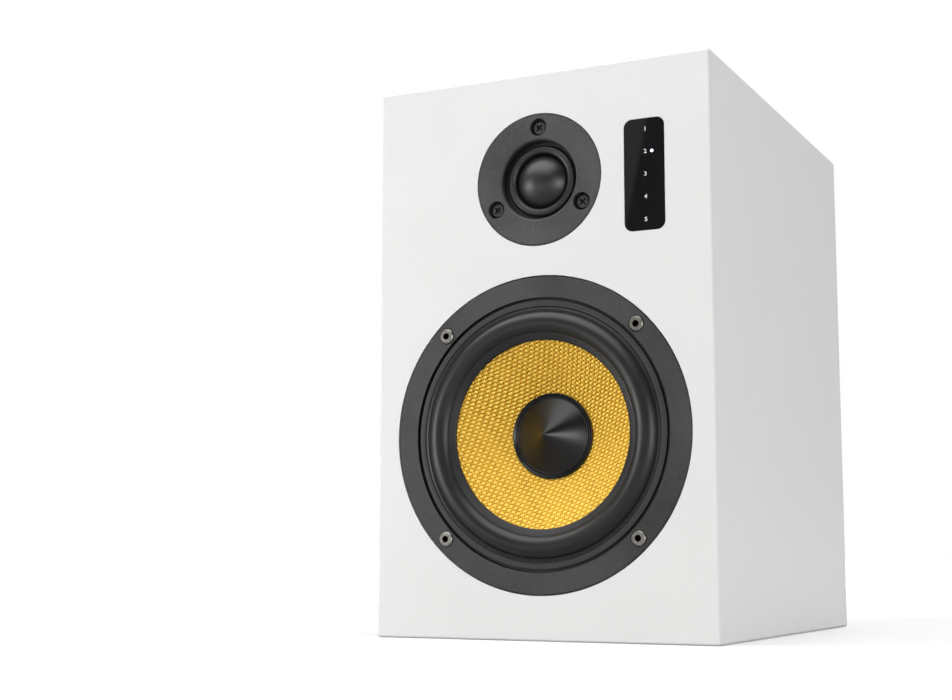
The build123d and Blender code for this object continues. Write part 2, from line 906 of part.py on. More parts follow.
# Terminal strips: one below the woofer's pot, one on the back of the tweeter
strip_top = woofer_z - pot_radius + strip_overlap
strip_middle = strip_top - woofer_strip_length / 2
strip_back = plate_front + strip_thickness
tag_middle = strip_top - woofer_strip_length
tweeter_strip_back = tweeter_back + strip_thickness

with BuildPart() as driver_terminals:
    with BuildSketch(front_plane(0, strip_middle, plate_front)):
        Rectangle(strip_width, woofer_strip_length)
    extrude(amount=-strip_thickness)
    with BuildSketch(front_plane(0, tag_middle, strip_back)):
        with GridLocations(tag_spacing, 0, 2, 1):
            Rectangle(tag_width, tag_length)
    extrude(amount=-tag_thickness)
    with BuildSketch(front_plane(0, tweeter_z, tweeter_back)):
        Rectangle(strip_width, tweeter_strip_height)
    extrude(amount=-strip_thickness)
    with BuildSketch(front_plane(0, tweeter_z - tweeter_strip_height / 2, tweeter_strip_back)):
        with GridLocations(tag_spacing, 0, 2, 1):
            Rectangle(tag_width, tag_length)
    extrude(amount=-tag_thickness)

# Input window, the block that guides the lamps' light, and the lamp board
lamp_x = window_x + lamp_offset

with BuildPart() as display_window:
    with BuildSketch(front_plane(window_x, window_z, 0)):
        RectangleRounded(window_width, window_height, window_corner)
    extrude(amount=-window_thickness)

with BuildPart() as indicator_light_guides:
    with BuildSketch(front_plane(window_x, window_z, window_thickness)):
        Rectangle(window_width - 2 * window_ledge - 2 * slip, window_height - 2 * window_ledge - 2 * slip)
        with Locations((lamp_offset, 0)):
            with GridLocations(0, lamp_pitch, 1, lamp_count):
                Circle(guide_radius, mode=Mode.SUBTRACT)
    extrude(amount=-wall + window_thickness)

plug_z = window_z - window_height / 2 + plug_height

with BuildPart() as display_board:
    with BuildSketch(front_plane(window_x, window_z, wall)):
        Rectangle(window_width, window_height + 2 * display_board_margin)
    extrude(amount=-board_thickness)
    with BuildSketch(front_plane(lamp_x, window_z, wall)):
        with GridLocations(0, lamp_pitch, 1, lamp_count):
            Rectangle(lamp_size, lamp_size)
    extrude(amount=lamp_height)
    with BuildSketch(front_plane(window_x, plug_z, wall + board_thickness)):
        Rectangle(plug_width, plug_height)
    extrude(amount=-plug_length)

# Port tube with a flared mouth
with BuildPart() as port_tube:
    with BuildSketch(Plane(origin=(0, back, port_z), x_dir=(1, 0, 0), z_dir=(0, 0, 1))):
        with BuildLine():
            port_outer = port_bore + port_wall
            flare_corner = port_flare * (1 - cos(radians(45)))
            Polyline(
                (port_bore, -port_flare),
                (port_bore, -port_length),
                (port_outer, -port_length),
                (port_outer, -port_flange_thickness),
                (port_rim, -port_flange_thickness),
                (port_rim, 0),
                (port_bore + port_flare, 0),
            )
            ThreePointArc(
                (port_bore + port_flare, 0),
                (port_bore + flare_corner, -flare_corner),
                (port_bore, -port_flare),
            )
        make_face()
    revolve(axis=Axis((0, back, port_z), (0, 1, 0)))


# Outlines that the flat sockets and their holes in the plate share
def hdmi_outline(grow):
    """Socket outline with its two lower corners cut, grown by a margin."""
    with BuildSketch() as outline:
        Rectangle(hdmi_size[0] + 2 * grow, hdmi_size[1] + 2 * grow)
        chamfer(outline.vertices().group_by(Axis.Y)[0], hdmi_bevel)
    return outline.sketch


def usb_outline(grow):
    """Socket outline with its two upper corners cut, grown by a margin."""
    with BuildSketch() as outline:
        Rectangle(usb_size[0] + 2 * grow, usb_size[1] + 2 * grow)
        chamfer(outline.vertices().group_by(Axis.Y)[-1], usb_bevel)
    return outline.sketch


with BuildPart() as amp_panel:
    with BuildSketch(rear_plane((0, 0), amp_thickness)):
        RectangleRounded(amp_width, amp_height, amp_corner)
        with GridLocations(amp_width - 2 * amp_screw_inset, amp_height / 2 - amp_screw_inset, 2, 3):
            Circle(amp_screw_shank + slip, mode=Mode.SUBTRACT)
        with Locations(volume_at):
            Circle(bushing_radius + slip, mode=Mode.SUBTRACT)
        with Locations(aux_white_at, aux_red_at):
            Circle(aux_body_radius + slip, mode=Mode.SUBTRACT)
        with Locations(hdmi_at):
            add(hdmi_outline(slip), mode=Mode.SUBTRACT)
        with Locations(usb_at):
            add(usb_outline(slip), mode=Mode.SUBTRACT)
        with Locations(optical_at):
            Rectangle(optical_size[0] + 2 * slip, optical_size[1] + 2 * slip, mode=Mode.SUBTRACT)
        with Locations(clip_at):
            Rectangle(clip_body[0] + 2 * slip, clip_body[1] + 2 * slip, mode=Mode.SUBTRACT)
        with Locations(switch_at):
            Rectangle(switch_body[0] + 2 * slip, switch_body[1] + 2 * slip, mode=Mode.SUBTRACT)
        with Locations(mains_at):
            Rectangle(mains_body[0] + 2 * slip, mains_body[1] + 2 * slip, mode=Mode.SUBTRACT)
    extrude(amount=amp_thickness)

with BuildPart() as panel_screws:
    with BuildSketch(rear_plane((0, 0), 0)):
        with GridLocations(amp_width - 2 * amp_screw_inset, amp_height / 2 - amp_screw_inset, 2, 3):
            Circle(amp_screw_head)
    extrude(amount=amp_screw_head_height)
    fillet(panel_screws.faces().group_by(Axis.Y)[-1].edges(), amp_screw_head_height / 2)
    with BuildSketch(rear_plane((0, 0), 0)):
        with GridLocations(amp_width - 2 * amp_screw_inset, amp_height / 2 - amp_screw_inset, 2, 3):
            Circle(amp_screw_shank)
    extrude(amount=-amp_screw_length)
    with BuildSketch(rear_plane((0, 0), -amp_screw_head_height)):
        with GridLocations(amp_width - 2 * amp_screw_inset, amp_height / 2 - amp_screw_inset, 2, 3):
            Rectangle(cross_length, cross_width)
            Rectangle(cross_width, cross_length)
    extrude(amount=-cross_depth, mode=Mode.SUBTRACT)

# Boards, and the posts that stand them off the plate
with BuildPart() as input_board:
    with BuildSketch(rear_plane((0, input_board_rise), input_board_inset)):
        Rectangle(*input_board_size)
    extrude(amount=-board_thickness)

with BuildPart() as amp_board:
    with BuildSketch(rear_plane((0, amp_board_rise), amp_board_inset)):
        Rectangle(*amp_board_size)
    extrude(amount=-board_thickness)

# The crossover board lies on the floor behind the magnet
crossover_y = front + woofer_back + crossover_behind_magnet + crossover_size[1] / 2
crossover_bottom = wall + crossover_spacer
crossover_top = crossover_bottom + board_thickness
crossover_spacing = [side - 2 * crossover_spacer_inset for side in crossover_size]

with BuildPart() as board_spacers:
    with BuildSketch(rear_plane((0, amp_board_rise), plate_inside)):
        with GridLocations(amp_board_size[0] - 2 * spacer_inset, amp_board_size[1] - 2 * spacer_inset, 2, 2):
            Circle(spacer_radius)
    extrude(amount=-amp_board_gap)
    with BuildSketch(Plane(origin=(0, crossover_y, wall))):
        with GridLocations(*crossover_spacing, 2, 2):
            Circle(spacer_radius)
    extrude(amount=crossover_spacer)

with BuildPart() as power_supply_parts:
    with BuildSketch(rear_plane((0, 0), amp_board_inset + board_thickness)):
        with Locations(supply_core_at):
            Rectangle(supply_core[0], supply_core[1])
    extrude(amount=-supply_core[2])
    fillet(power_supply_parts.edges().filter_by(Axis.Y), edge_radius)
    with BuildSketch(rear_plane((0, 0), amp_board_inset + board_thickness)):
        with Locations(supply_can_at):
            with GridLocations(0, supply_can_pitch, 1, 2):
                Circle(supply_can_radius)
    extrude(amount=-supply_can_length)

with BuildPart() as crossover_board:
    with BuildSketch(Plane(origin=(0, crossover_y, crossover_bottom))):
        Rectangle(*crossover_size)
    extrude(amount=board_thickness)

with BuildPart() as crossover_parts:
    with BuildSketch(Plane(origin=(0, crossover_y, crossover_top))):
        with Locations(choke_at):
            Circle(choke_radius)
            Circle(choke_bore, mode=Mode.SUBTRACT)
    extrude(amount=choke_height)
    with BuildSketch(Plane(origin=(0, crossover_y, crossover_top))):
        with Locations(capacitor_at):
            with GridLocations(0, capacitor_pitch, 1, 2):
                Circle(capacitor_radius)
    extrude(amount=capacitor_height)

# Volume control: encoder with bushing and nut, plunger, shaft and fluted knob
encoder_bore_inset = input_board_inset - encoder_floor
plunger_inset = encoder_bore_inset - push_room
shaft_inset = plunger_inset - plunger_thickness

with BuildPart() as volume_encoder:
    with BuildSketch(rear_plane(volume_at, input_board_inset)):
        Rectangle(encoder_side, encoder_side)
    extrude(amount=input_gap)
    with BuildSketch(rear_plane(volume_at, plate_inside)):
        Circle(bushing_radius)
    extrude(amount=plate_inside + bushing_length)
    with BuildSketch(rear_plane(volume_at, 0)):
        RegularPolygon(nut_across_flats / 2, 6, major_radius=False)
    extrude(amount=nut_thickness)
    with BuildSketch(rear_plane(volume_at, encoder_bore_inset)):
        Circle(shaft_radius + running)
    extrude(amount=encoder_bore_inset + bushing_length, mode=Mode.SUBTRACT)

with BuildPart() as volume_plunger:
    with BuildSketch(rear_plane(volume_at, plunger_inset)):
        Circle(shaft_radius)
    extrude(amount=plunger_thickness)

with BuildPart() as volume_shaft:
    with BuildSketch(rear_plane(volume_at, shaft_inset)):
        Circle(shaft_radius)
    extrude(amount=shaft_inset + shaft_reach)

with BuildPart() as volume_knob:
    with BuildSketch(rear_plane(volume_at, -knob_stand_off)):
        Circle(knob_radius)
    extrude(amount=knob_length)
    chamfer(volume_knob.faces().sort_by(Axis.Y)[-1].edges(), knob_edge)
    with BuildSketch(rear_plane(volume_at, -knob_stand_off)):
        with PolarLocations(knob_radius, knob_flutes):
            Circle(flute_radius)
    extrude(amount=knob_length, mode=Mode.SUBTRACT)
    with BuildSketch(rear_plane(volume_at, -knob_stand_off)):
        Circle(knob_recess_radius)
    extrude(amount=knob_recess_depth, mode=Mode.SUBTRACT)
    with BuildSketch(rear_plane(volume_at, -knob_stand_off)):
        Circle(shaft_radius + running)
    extrude(amount=shaft_reach - knob_stand_off, mode=Mode.SUBTRACT)


# Phono sockets: coloured insulator with a flange, and the bare shell round its core
def aux_insulator(place):
    """A phono socket's insulator, with the hole for the plug's pin."""
    with BuildPart() as insulator:
        with BuildSketch(rear_plane(place, input_board_inset)):
            Circle(aux_body_radius)
        extrude(amount=input_board_inset)
        with BuildSketch(rear_plane(place, 0)):
            Circle(aux_flange_radius)
        extrude(amount=aux_flange)
        with BuildSketch(rear_plane(place, -aux_flange)):
            Circle(aux_shell_radius - aux_shell_wall - slip)
        extrude(amount=aux_core_length)
        with Locations(rear_plane(place, -aux_flange - aux_core_length)):
            Hole(aux_pin_radius, aux_pin_depth)
    return insulator.part


with BuildPart() as aux_socket_white:
    add(aux_insulator(aux_white_at))

with BuildPart() as aux_socket_red:
    add(aux_insulator(aux_red_at))

with BuildPart() as socket_shells:
    with BuildSketch(rear_plane((0, 0), -aux_flange)):
        with Locations(aux_white_at, aux_red_at):
            Circle(aux_shell_radius)
            Circle(aux_shell_radius - aux_shell_wall, mode=Mode.SUBTRACT)
    extrude(amount=aux_shell_length)
    with BuildSketch(rear_plane((0, 0), input_board_inset)):
        with Locations(hdmi_at):
            add(hdmi_outline(0))
        with Locations(usb_at):
            add(usb_outline(0))
    extrude(amount=input_board_inset)
    with BuildSketch(rear_plane((0, 0), 0)):
        with Locations(hdmi_at):
            add(hdmi_outline(-shell_wall))
        with Locations(usb_at):
            add(usb_outline(-shell_wall))
    extrude(amount=-shell_depth, mode=Mode.SUBTRACT)

with BuildPart() as socket_tongues:
    with BuildSketch(rear_plane((0, 0), shell_depth)):
        with Locations(hdmi_at):
            Rectangle(*hdmi_tongue)
        with Locations(usb_at):
            Rectangle(*usb_tongue)
    extrude(amount=tongue_length)

# Optical socket with the shutter that swings in on two small pins
shutter_drop = optical_mouth / 2 - shutter_gap - shutter_thickness / 2
shutter_inset = shutter_recess + shutter_thickness / 2 - optical_proud
shutter_half_width = optical_mouth / 2 - shutter_gap

with BuildPart() as optical_socket:
    with BuildSketch(rear_plane(optical_at, input_board_inset)):
        Rectangle(*optical_size)
    extrude(amount=input_board_inset + optical_proud)
    with BuildSketch(rear_plane(optical_at, -optical_proud)):
        Rectangle(optical_mouth, optical_mouth)
    extrude(amount=-optical_depth, mode=Mode.SUBTRACT)
    with BuildSketch(side_plane(optical_at)):
        with Locations((-shutter_inset, shutter_drop)):
            Circle(shutter_pin + running)
    extrude(amount=optical_mouth / 2 + shutter_pin_reach, both=True, mode=Mode.SUBTRACT)

with BuildPart() as optical_shutter:
    with BuildSketch(side_plane(optical_at)):
        with Locations((-shutter_inset, shutter_drop)):
            Circle(shutter_thickness / 2)
        with Locations((-shutter_inset, shutter_drop)):
            Rectangle(shutter_thickness, 2 * shutter_drop, align=(Align.CENTER, Align.MAX))
    extrude(amount=shutter_half_width, both=True)
    with BuildSketch(side_plane(optical_at)):
        with Locations((-shutter_inset, shutter_drop)):
            Circle(shutter_pin)
    extrude(amount=optical_mouth / 2 + shutter_pin_reach - running, both=True)

# Speaker output: a block with two slots, and a lever hinged in each
lever_places = [(clip_at[0] + side * lever_pitch / 2, clip_at[1]) for side in (-1, 1)]
slot_bottom = lever_pivot[1] - lever_hub - lever_slot_room
slot_middle = (lever_slot_top + slot_bottom) / 2
slot_depth = clip_block[2] - lever_pivot[0] + lever_hub + lever_slot_room

with BuildPart() as clip_terminal:
    with BuildSketch(rear_plane(clip_at, 0)):
        Rectangle(clip_block[0], clip_block[1])
    extrude(amount=clip_block[2])
    fillet(clip_terminal.edges().filter_by(Axis.Y), clip_edge)
    with BuildSketch(rear_plane(clip_at, 0)):
        Rectangle(clip_body[0], clip_body[1])
    extrude(amount=-clip_body[2] + plate_inside)
    with BuildSketch(rear_plane(clip_at, -clip_block[2])):
        with Locations((0, slot_middle)):
            with GridLocations(lever_pitch, 0, 2, 1):
                Rectangle(lever_width + 2 * lever_gap, lever_slot_top - slot_bottom)
    extrude(amount=-slot_depth, mode=Mode.SUBTRACT)
    with BuildSketch(rear_plane(clip_at, -clip_block[2])):
        with Locations((0, -wire_hole_drop)):
            with GridLocations(lever_pitch, 0, 2, 1):
                Circle(wire_hole_radius)
    extrude(amount=-wire_hole_depth, mode=Mode.SUBTRACT)
    for place in lever_places:
        with BuildSketch(side_plane(place)):
            with Locations(lever_pivot):
                Circle(lever_pin + running)
        extrude(amount=lever_width / 2 + lever_pin_reach + running, both=True, mode=Mode.SUBTRACT)


def clip_lever(place):
    """A finger lever: a leaning blade, a round hub and its two hinge pins."""
    with BuildPart() as lever:
        with BuildSketch(side_plane(place)):
            with Locations(lever_pivot):
                Circle(lever_hub)
                Rectangle(
                    lever_thickness, lever_length, rotation=-lever_lean, align=(Align.CENTER, Align.MIN)
                )
        extrude(amount=lever_width / 2, both=True)
        with BuildSketch(side_plane(place)):
            with Locations(lever_pivot):
                Circle(lever_pin)
        extrude(amount=lever_width / 2 + lever_pin_reach, both=True)
    return lever.part


with BuildPart() as clip_lever_red:
    add(clip_lever(lever_places[0]))

with BuildPart() as clip_lever_black:
    add(clip_lever(lever_places[1]))

# Power switch: housing with a bezel, and a rocker that tips on two pins
with BuildPart() as power_switch:
    with BuildSketch(rear_plane(switch_at, 0)):
        Rectangle(switch_bezel[0], switch_bezel[1])
    extrude(amount=switch_bezel[2])
    with BuildSketch(rear_plane(switch_at, 0)):
        Rectangle(switch_body[0], switch_body[1])
    extrude(amount=-switch_body[2])
    with BuildSketch(rear_plane(switch_at, -switch_bezel[2])):
        Rectangle(*switch_mouth)
    extrude(amount=-switch_cavity, mode=Mode.SUBTRACT)
    with BuildSketch(side_plane(switch_at)):
        with Locations((-rocker_pivot_inset, 0)):
            Circle(rocker_pin + running)
    extrude(amount=switch_mouth[0] / 2 + rocker_pin_reach, both=True, mode=Mode.SUBTRACT)

with BuildPart() as power_rocker:
    with BuildSketch(side_plane(switch_at)):
        with Locations((-rocker_pivot_inset, 0)):
            Polygon(
                (rocker_crown, rocker_half),
                (rocker_valley, 0),
                (rocker_crown, -rocker_half),
                (-rocker_root, -rocker_foot),
                (-rocker_root, rocker_foot),
                rotation=-rocker_tilt,
                align=None,
            )
    extrude(amount=switch_mouth[0] / 2 - rocker_gap, both=True)
    with BuildSketch(side_plane(switch_at)):
        with Locations((-rocker_pivot_inset, 0)):
            Circle(rocker_pin)
    extrude(amount=switch_mouth[0] / 2 + rocker_pin_reach - running, both=True)

# Mains inlet
with BuildPart() as mains_inlet:
    with BuildSketch(rear_plane(mains_at, 0)):
        RectangleRounded(mains_flange[0], mains_flange[1], mains_corner)
    extrude(amount=mains_flange[2])
    with BuildSketch(rear_plane(mains_at, 0)):
        Rectangle(mains_body[0], mains_body[1])
    extrude(amount=-mains_body[2])
    with BuildSketch(rear_plane(mains_at, -mains_flange[2])):
        SlotCenterToCenter(mains_pin_pitch, 2 * mains_lobe)
    extrude(amount=-mains_recess, mode=Mode.SUBTRACT)

with BuildPart() as mains_pins:
    with BuildSketch(rear_plane(mains_at, mains_recess - mains_flange[2])):
        with GridLocations(mains_pin_pitch, 0, 2, 1):
            Circle(mains_pin_radius)
    extrude(amount=mains_pin_length)


def wire(points, bends, radius):
    """A round wire along straight runs joined by tangent arcs."""
    with BuildPart() as run:
        with BuildLine() as route:
            FilletPolyline(*points, radius=bends)
        with BuildSketch(Plane(origin=route.line @ 0, z_dir=route.line % 0)):
            Circle(radius)
        sweep(path=route.line)
    return run.part


# Wires from the crossover to both drivers and to the amplifier, in pairs
woofer_tag_back = front + strip_back + tag_thickness
tweeter_tag_back = front + tweeter_strip_back + tag_thickness
tweeter_tag_z = tweeter_z - tweeter_strip_height / 2
board_front = crossover_y - crossover_size[1] / 2
board_rear = crossover_y + crossover_size[1] / 2
amp_board_face = back - amp_board_inset - board_thickness
magnet_clear = magnet_radius + 4 * wire_radius

with BuildPart() as driver_wires:
    for side in (-1, 1):
        x = side * tag_spacing / 2
        landing_y = board_front + 2 * wire_radius
        add(wire(
            [(x, woofer_tag_back, tag_middle), (x, landing_y, tag_middle), (x, landing_y, crossover_top)],
            [7.0],
            wire_radius,
        ))
    for side in (-1, 1):
        x = side * tag_spacing / 2
        shift = side * 2 * wire_radius
        landing_x = -crossover_size[0] / 2 + 5 * wire_radius + shift
        landing_y = board_front + 12 * wire_radius
        add(wire(
            [
                (x, tweeter_tag_back, tweeter_tag_z),
                (x, tweeter_tag_back + 20 + shift, tweeter_tag_z),
                (-magnet_clear, tweeter_tag_back + 24 + shift, tweeter_tag_z - 30 + shift),
                (-magnet_clear, landing_y + shift, woofer_z),
                (landing_x, landing_y, crossover_top + 30),
                (landing_x, landing_y, crossover_top),
            ],
            [8.0, 12.0, 20.0, 12.0],
            wire_radius,
        ))
    for side in (-1, 1):
        x = side * tag_spacing / 2
        landing_y = board_rear - 3 * wire_radius
        start_z = wall + 30
        add(wire(
            [(x, amp_board_face, start_z), (x, landing_y, start_z), (x, landing_y, crossover_top)],
            [10.0],
            wire_radius,
        ))

# Cable from the lamp board to the input board
plug_back = front + wall + board_thickness + plug_length
input_board_face = back - input_board_inset - board_thickness
cable_end_x = 20.0
cable_end_z = amp_z + input_board_rise + 15

with BuildPart() as display_cable:
    add(wire(
        [
            (window_x, plug_back, plug_z),
            (window_x, plug_back + 45, plug_z),
            (window_x - 4, plug_back + 110, plug_z - 20),
            (cable_end_x + 8, input_board_face - 40, cable_end_z),
            (cable_end_x, input_board_face - 18, cable_end_z - 2),
            (cable_end_x, input_board_face, cable_end_z - 2),
        ],
        [30.0, 40.0, 20.0, 8.0],
        cable_radius,
    ))

# Tinsel leads from the woofer's tags, past a spoke, to the back of the cone
tinsel_landing = neck_radius + 9
lead_end_depth = cone_depth(tinsel_landing + 1) + cone_thickness + glue + tinsel_radius

with BuildPart() as woofer_tinsel_leads:
    for side in (-1, 1):
        x = side * tinsel_x
        add(wire(
            [
                (x, front + plate_front, strip_middle - basket_wall),
                (x, front + ledge_depth + basket_wall, strip_middle - basket_wall),
                (x, front + ledge_depth - 5 * basket_wall, woofer_z - pot_radius - 2 * basket_wall),
                (x, front + lead_end_depth + 2, woofer_z - tinsel_landing - 12),
                (x, front + lead_end_depth, woofer_z - tinsel_landing),
            ],
            [4.0, 8.0, 8.0],
            tinsel_radius,
        ))

# Soft lining against both side walls
with BuildPart() as side_wadding:
    for side in (-1, 1):
        wall_plane = Plane(origin=(side * inside_x, 0, height / 2), x_dir=(0, 1, 0), z_dir=(-side, 0, 0))
        with BuildSketch(wall_plane):
            Rectangle(depth - 2 * wall - 2 * wadding_margin, height - 2 * wall - 2 * wadding_margin)
        extrude(amount=wadding_thickness)
    fillet(side_wadding.edges().filter_by(Axis.X), wadding_margin / 2)

pieces = {
    "front_baffle": front_baffle,
    "left_panel": left_panel,
    "right_panel": right_panel,
    "top_panel": top_panel,
    "bottom_panel": bottom_panel,
    "rear_panel": rear_panel,
    "woofer_basket": woofer_basket,
    "woofer_trim_ring": woofer_trim_ring,
    "woofer_surround": woofer_surround,
    "woofer_cone": woofer_cone,
    "woofer_dust_cap": woofer_dust_cap,
    "woofer_voice_coil": woofer_voice_coil,
    "woofer_spider": woofer_spider,
    "woofer_top_plate": woofer_top_plate,
    "woofer_magnet": woofer_magnet,
    "woofer_yoke": woofer_yoke,
    "woofer_screws": woofer_screws,
    "woofer_tinsel_leads": woofer_tinsel_leads,
    "tweeter_faceplate": tweeter_faceplate,
    "tweeter_surround": tweeter_surround,
    "tweeter_dome": tweeter_dome,
    "tweeter_voice_coil": tweeter_voice_coil,
    "tweeter_pole_disc": tweeter_pole_disc,
    "tweeter_magnet": tweeter_magnet,
    "tweeter_yoke": tweeter_yoke,
    "tweeter_screws": tweeter_screws,
    "driver_gaskets": driver_gaskets,
    "driver_terminals": driver_terminals,
    "display_window": display_window,
    "indicator_light_guides": indicator_light_guides,
    "display_board": display_board,
    "port_tube": port_tube,
    "amp_panel": amp_panel,
    "panel_screws": panel_screws,
    "input_board": input_board,
    "amp_board": amp_board,
    "board_spacers": board_spacers,
    "power_supply_parts": power_supply_parts,
    "crossover_board": crossover_board,
    "crossover_parts": crossover_parts,
    "volume_encoder": volume_encoder,
    "volume_plunger": volume_plunger,
    "volume_shaft": volume_shaft,
    "volume_knob": volume_knob,
    "aux_socket_white": aux_socket_white,
    "aux_socket_red": aux_socket_red,
    "socket_shells": socket_shells,
    "socket_tongues": socket_tongues,
    "optical_socket": optical_socket,
    "optical_shutter": optical_shutter,
    "clip_terminal": clip_terminal,
    "clip_lever_red": clip_lever_red,
    "clip_lever_black": clip_lever_black,
    "power_switch": power_switch,
    "power_rocker": power_rocker,
    "mains_inlet": mains_inlet,
    "mains_pins": mains_pins,
    "driver_wires": driver_wires,
    "display_cable": display_cable,
    "side_wadding": side_wadding,
}

os.makedirs("parts", exist_ok=True)
for name, piece in pieces.items():
    piece.part.label = name
    export_step(piece.part, f"parts/{name}.step")
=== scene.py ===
from math import atan, cos, pi, radians, sin

import bmesh
import bpy
import numpy as np
from mathutils import Matrix, Vector, noise


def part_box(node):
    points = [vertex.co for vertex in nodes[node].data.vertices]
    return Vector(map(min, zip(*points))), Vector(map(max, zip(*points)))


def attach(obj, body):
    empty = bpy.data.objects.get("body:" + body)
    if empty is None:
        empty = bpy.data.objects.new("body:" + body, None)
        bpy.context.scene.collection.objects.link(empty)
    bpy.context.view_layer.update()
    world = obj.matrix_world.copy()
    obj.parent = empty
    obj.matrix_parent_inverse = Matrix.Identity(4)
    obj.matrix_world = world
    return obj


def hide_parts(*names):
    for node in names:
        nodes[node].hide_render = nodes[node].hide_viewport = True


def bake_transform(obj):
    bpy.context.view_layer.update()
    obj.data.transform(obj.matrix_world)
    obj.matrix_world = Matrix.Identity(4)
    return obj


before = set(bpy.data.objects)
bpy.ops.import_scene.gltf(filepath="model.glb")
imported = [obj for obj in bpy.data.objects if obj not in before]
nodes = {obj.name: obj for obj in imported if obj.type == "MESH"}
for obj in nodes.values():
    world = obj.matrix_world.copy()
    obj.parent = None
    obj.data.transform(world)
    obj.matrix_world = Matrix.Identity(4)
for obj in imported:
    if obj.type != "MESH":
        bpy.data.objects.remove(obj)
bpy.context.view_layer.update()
MM = 0.001
random = np.random.default_rng(7)

# Camera of the photograph: place in metres, angles in degrees, lens and sensor in millimetres
CAMERA_AT = (0.2982, -0.7835, 0.0373)
CAMERA_YAW = 26.458
CAMERA_PITCH = 7.640
CAMERA_ROLL = 0.109
CAMERA_LENS = 59.07
CAMERA_SENSOR = 36.0
CAMERA_CLIP = 0.01

# Woofer sizes that the looks add to the frame, in metres
RUBBER = 0.8 * MM
ROLL_STEP = 2.3 * MM
TRIM_EDGE = 0.35 * MM
BEAD_WIDTH = 0.7 * MM
BEAD_RISE = 0.15 * MM
RIM_SINK = 0.45 * MM
RIM_THICKNESS = 1.0 * MM
RIM_GAP = 0.1 * MM
GLUE_GAP = 0.2 * MM
LIP_THICKNESS = 0.6 * MM
LIP_RIB_PITCH = 1.2 * MM
LIP_RIB_HEIGHT = 0.22 * MM
LIP_ROWS = 14
POINTS_PER_RIB = 6
CONE_THICKNESS = 0.8 * MM
CAP_WALL = 0.8 * MM
CAP_SKIRT = 2.0 * MM
CAP_GROOVE = 0.4 * MM
CAP_NOSE = 0.9 * MM
SPIDER_WAVE = 1.4 * MM
SPIDER_CLOTH = 0.6 * MM
SPIDER_ROLLS = 8
SPIDER_COLLAR = 2.5 * MM
SPIDER_RIM = 4.8 * MM
TINSEL_RADIUS = 0.5 * MM

# The cone's weave, in metres and radians; the painted light is a painted highlight added to the first
# direction's threads and painted shade to the second's, and the painted shade darkens a thread where it dips
# low
THREAD_PITCH = 1.58 * MM
THREAD_WIDTH = 1.34 * MM
THREAD_ANGLES = (radians(21), radians(122))
# Painted highlight on the first direction's threads, painted shade on the second's
THREAD_PAINTED_LIGHT = (0.19, -0.2)
THREAD_VARIES = 0.1
THREAD_WAVE = 0.26 * MM
THREAD_CROWN = 0.34 * MM
THREAD_FLATTENS = 0.9
# Painted shade: how far a thread's colour darkens where it dips low
THREAD_PAINTED_SHADE = 0.75
THREAD_OFFSET = 7.3
THREAD_ACROSS = np.array([-1.0, -0.72, 0.0, 0.72, 1.0])
POINTS_PER_PITCH = 5
WEAVE_DEPTH = 0.6 * MM
WEAVE_UNDER_CAP = 1.2 * MM
WEAVE_UNDER_LIP = 0.8 * MM

# Tweeter sizes that the looks add, in metres
SILK = 0.4 * MM
FOLD_OUTER = 17.6 * MM
FOLD_SINK = 0.6 * MM
FOLD_RIM = 0.5 * MM
FOLD_RISE = 0.7 * MM
FOLD_GAP = 0.01 * MM

# Marks on the window and on the rear plate, in metres; letters as shares of their height
LETTER_HEIGHT = 0.7
LETTER_SPREAD = 0.03
LETTER_RISE = 0.015 * MM
INPUT_COUNT = 5
INPUT_PITCH = 10.7 * MM
NUMERAL_HEIGHT = 1.9 * MM
NUMERAL_SHIFT = 0.6 * MM
LAMP_DOT = 0.85 * MM
LAMP_SHIFT = 3.8 * MM
LAMP_RISE = 0.05 * MM
LAMP_SINK = 0.03 * MM
TICK_COUNT = 11
TICK_SPAN = (-30, 210)
TICK_RADIUS = 12.0 * MM
TICK_LENGTH = 1.6 * MM
TICK_WIDTH = 0.4 * MM
TICK_RISE = 0.02 * MM

# Marks printed on the rear plate: name, sign, and X, Z and height in millimetres
REAR_MARKS = (
    ("input_2", "2", -29, 131, 3.0), ("input_3", "3", 22, 97, 3.0),
    ("input_4", "4", -8, 97, 3.0), ("input_5", "5", -4, 131, 3.0),
    ("left", "L", 30, 118.5, 2.4), ("right", "R", 14, 118.5, 2.4),
    ("quieter", "-", 39, 128.5, 3.0), ("louder", "+", 17, 128.5, 3.0),
    ("clip_plus", "+", 32.5, 80, 3.4), ("clip_minus", "-", 15.5, 80, 3.4),
    ("power_on", "I", -24, 90, 3.0), ("power_off", "O", -24, 61.5, 3.0),
)

# Wadding: thickness in metres, lumps per metre, and how many cells a pad has
PAD_THICKNESS = 8.0 * MM
PAD_LUMPS = 90
PAD_COLUMNS, PAD_ROWS = 48, 56

# Lamps: watts, place (degrees right of straight ahead, degrees up, metres off) and size in metres.
# The shine stands just before the key, because lamps in one place hide each other.
KEY_POWER = 8.0
KEY_AT = (-30, 62, 1.35)
KEY_SHINE = 21.5
KEY_SHINE_AT = (-30, 62, 1.31)
KEY_SIZE = (2.2, 1.2)
FRONT_POWER = 4.1
FRONT_AT = (-20, 16, 1.0)
FRONT_SIZE = (0.8, 0.5)
REAR_POWER = 7.0
REAR_DISTANCE = 1.5
REAR_HEIGHT = 0.4
REAR_SIZE = (0.9, 0.6)
LEFT_POWER = 4.4
LEFT_AT = (-56, -2, 1.2)
LEFT_SIZE = (0.5, 0.34)
RIGHT_POWER = 4.7
RIGHT_AT = (54, -2, 1.2)
RIGHT_SIZE = (0.62, 0.34)

# World levels as shares of white, and between which shares of a ray's length along Y they change
WORLD_FRONT = 0.1
WORLD_SIDE = 0.765
WORLD_STRAY_SPAN = (-0.7, 0.1)
WORLD_SEEN_FRONT = 0.06
WORLD_SEEN_SPAN = (-0.3, 0.1)

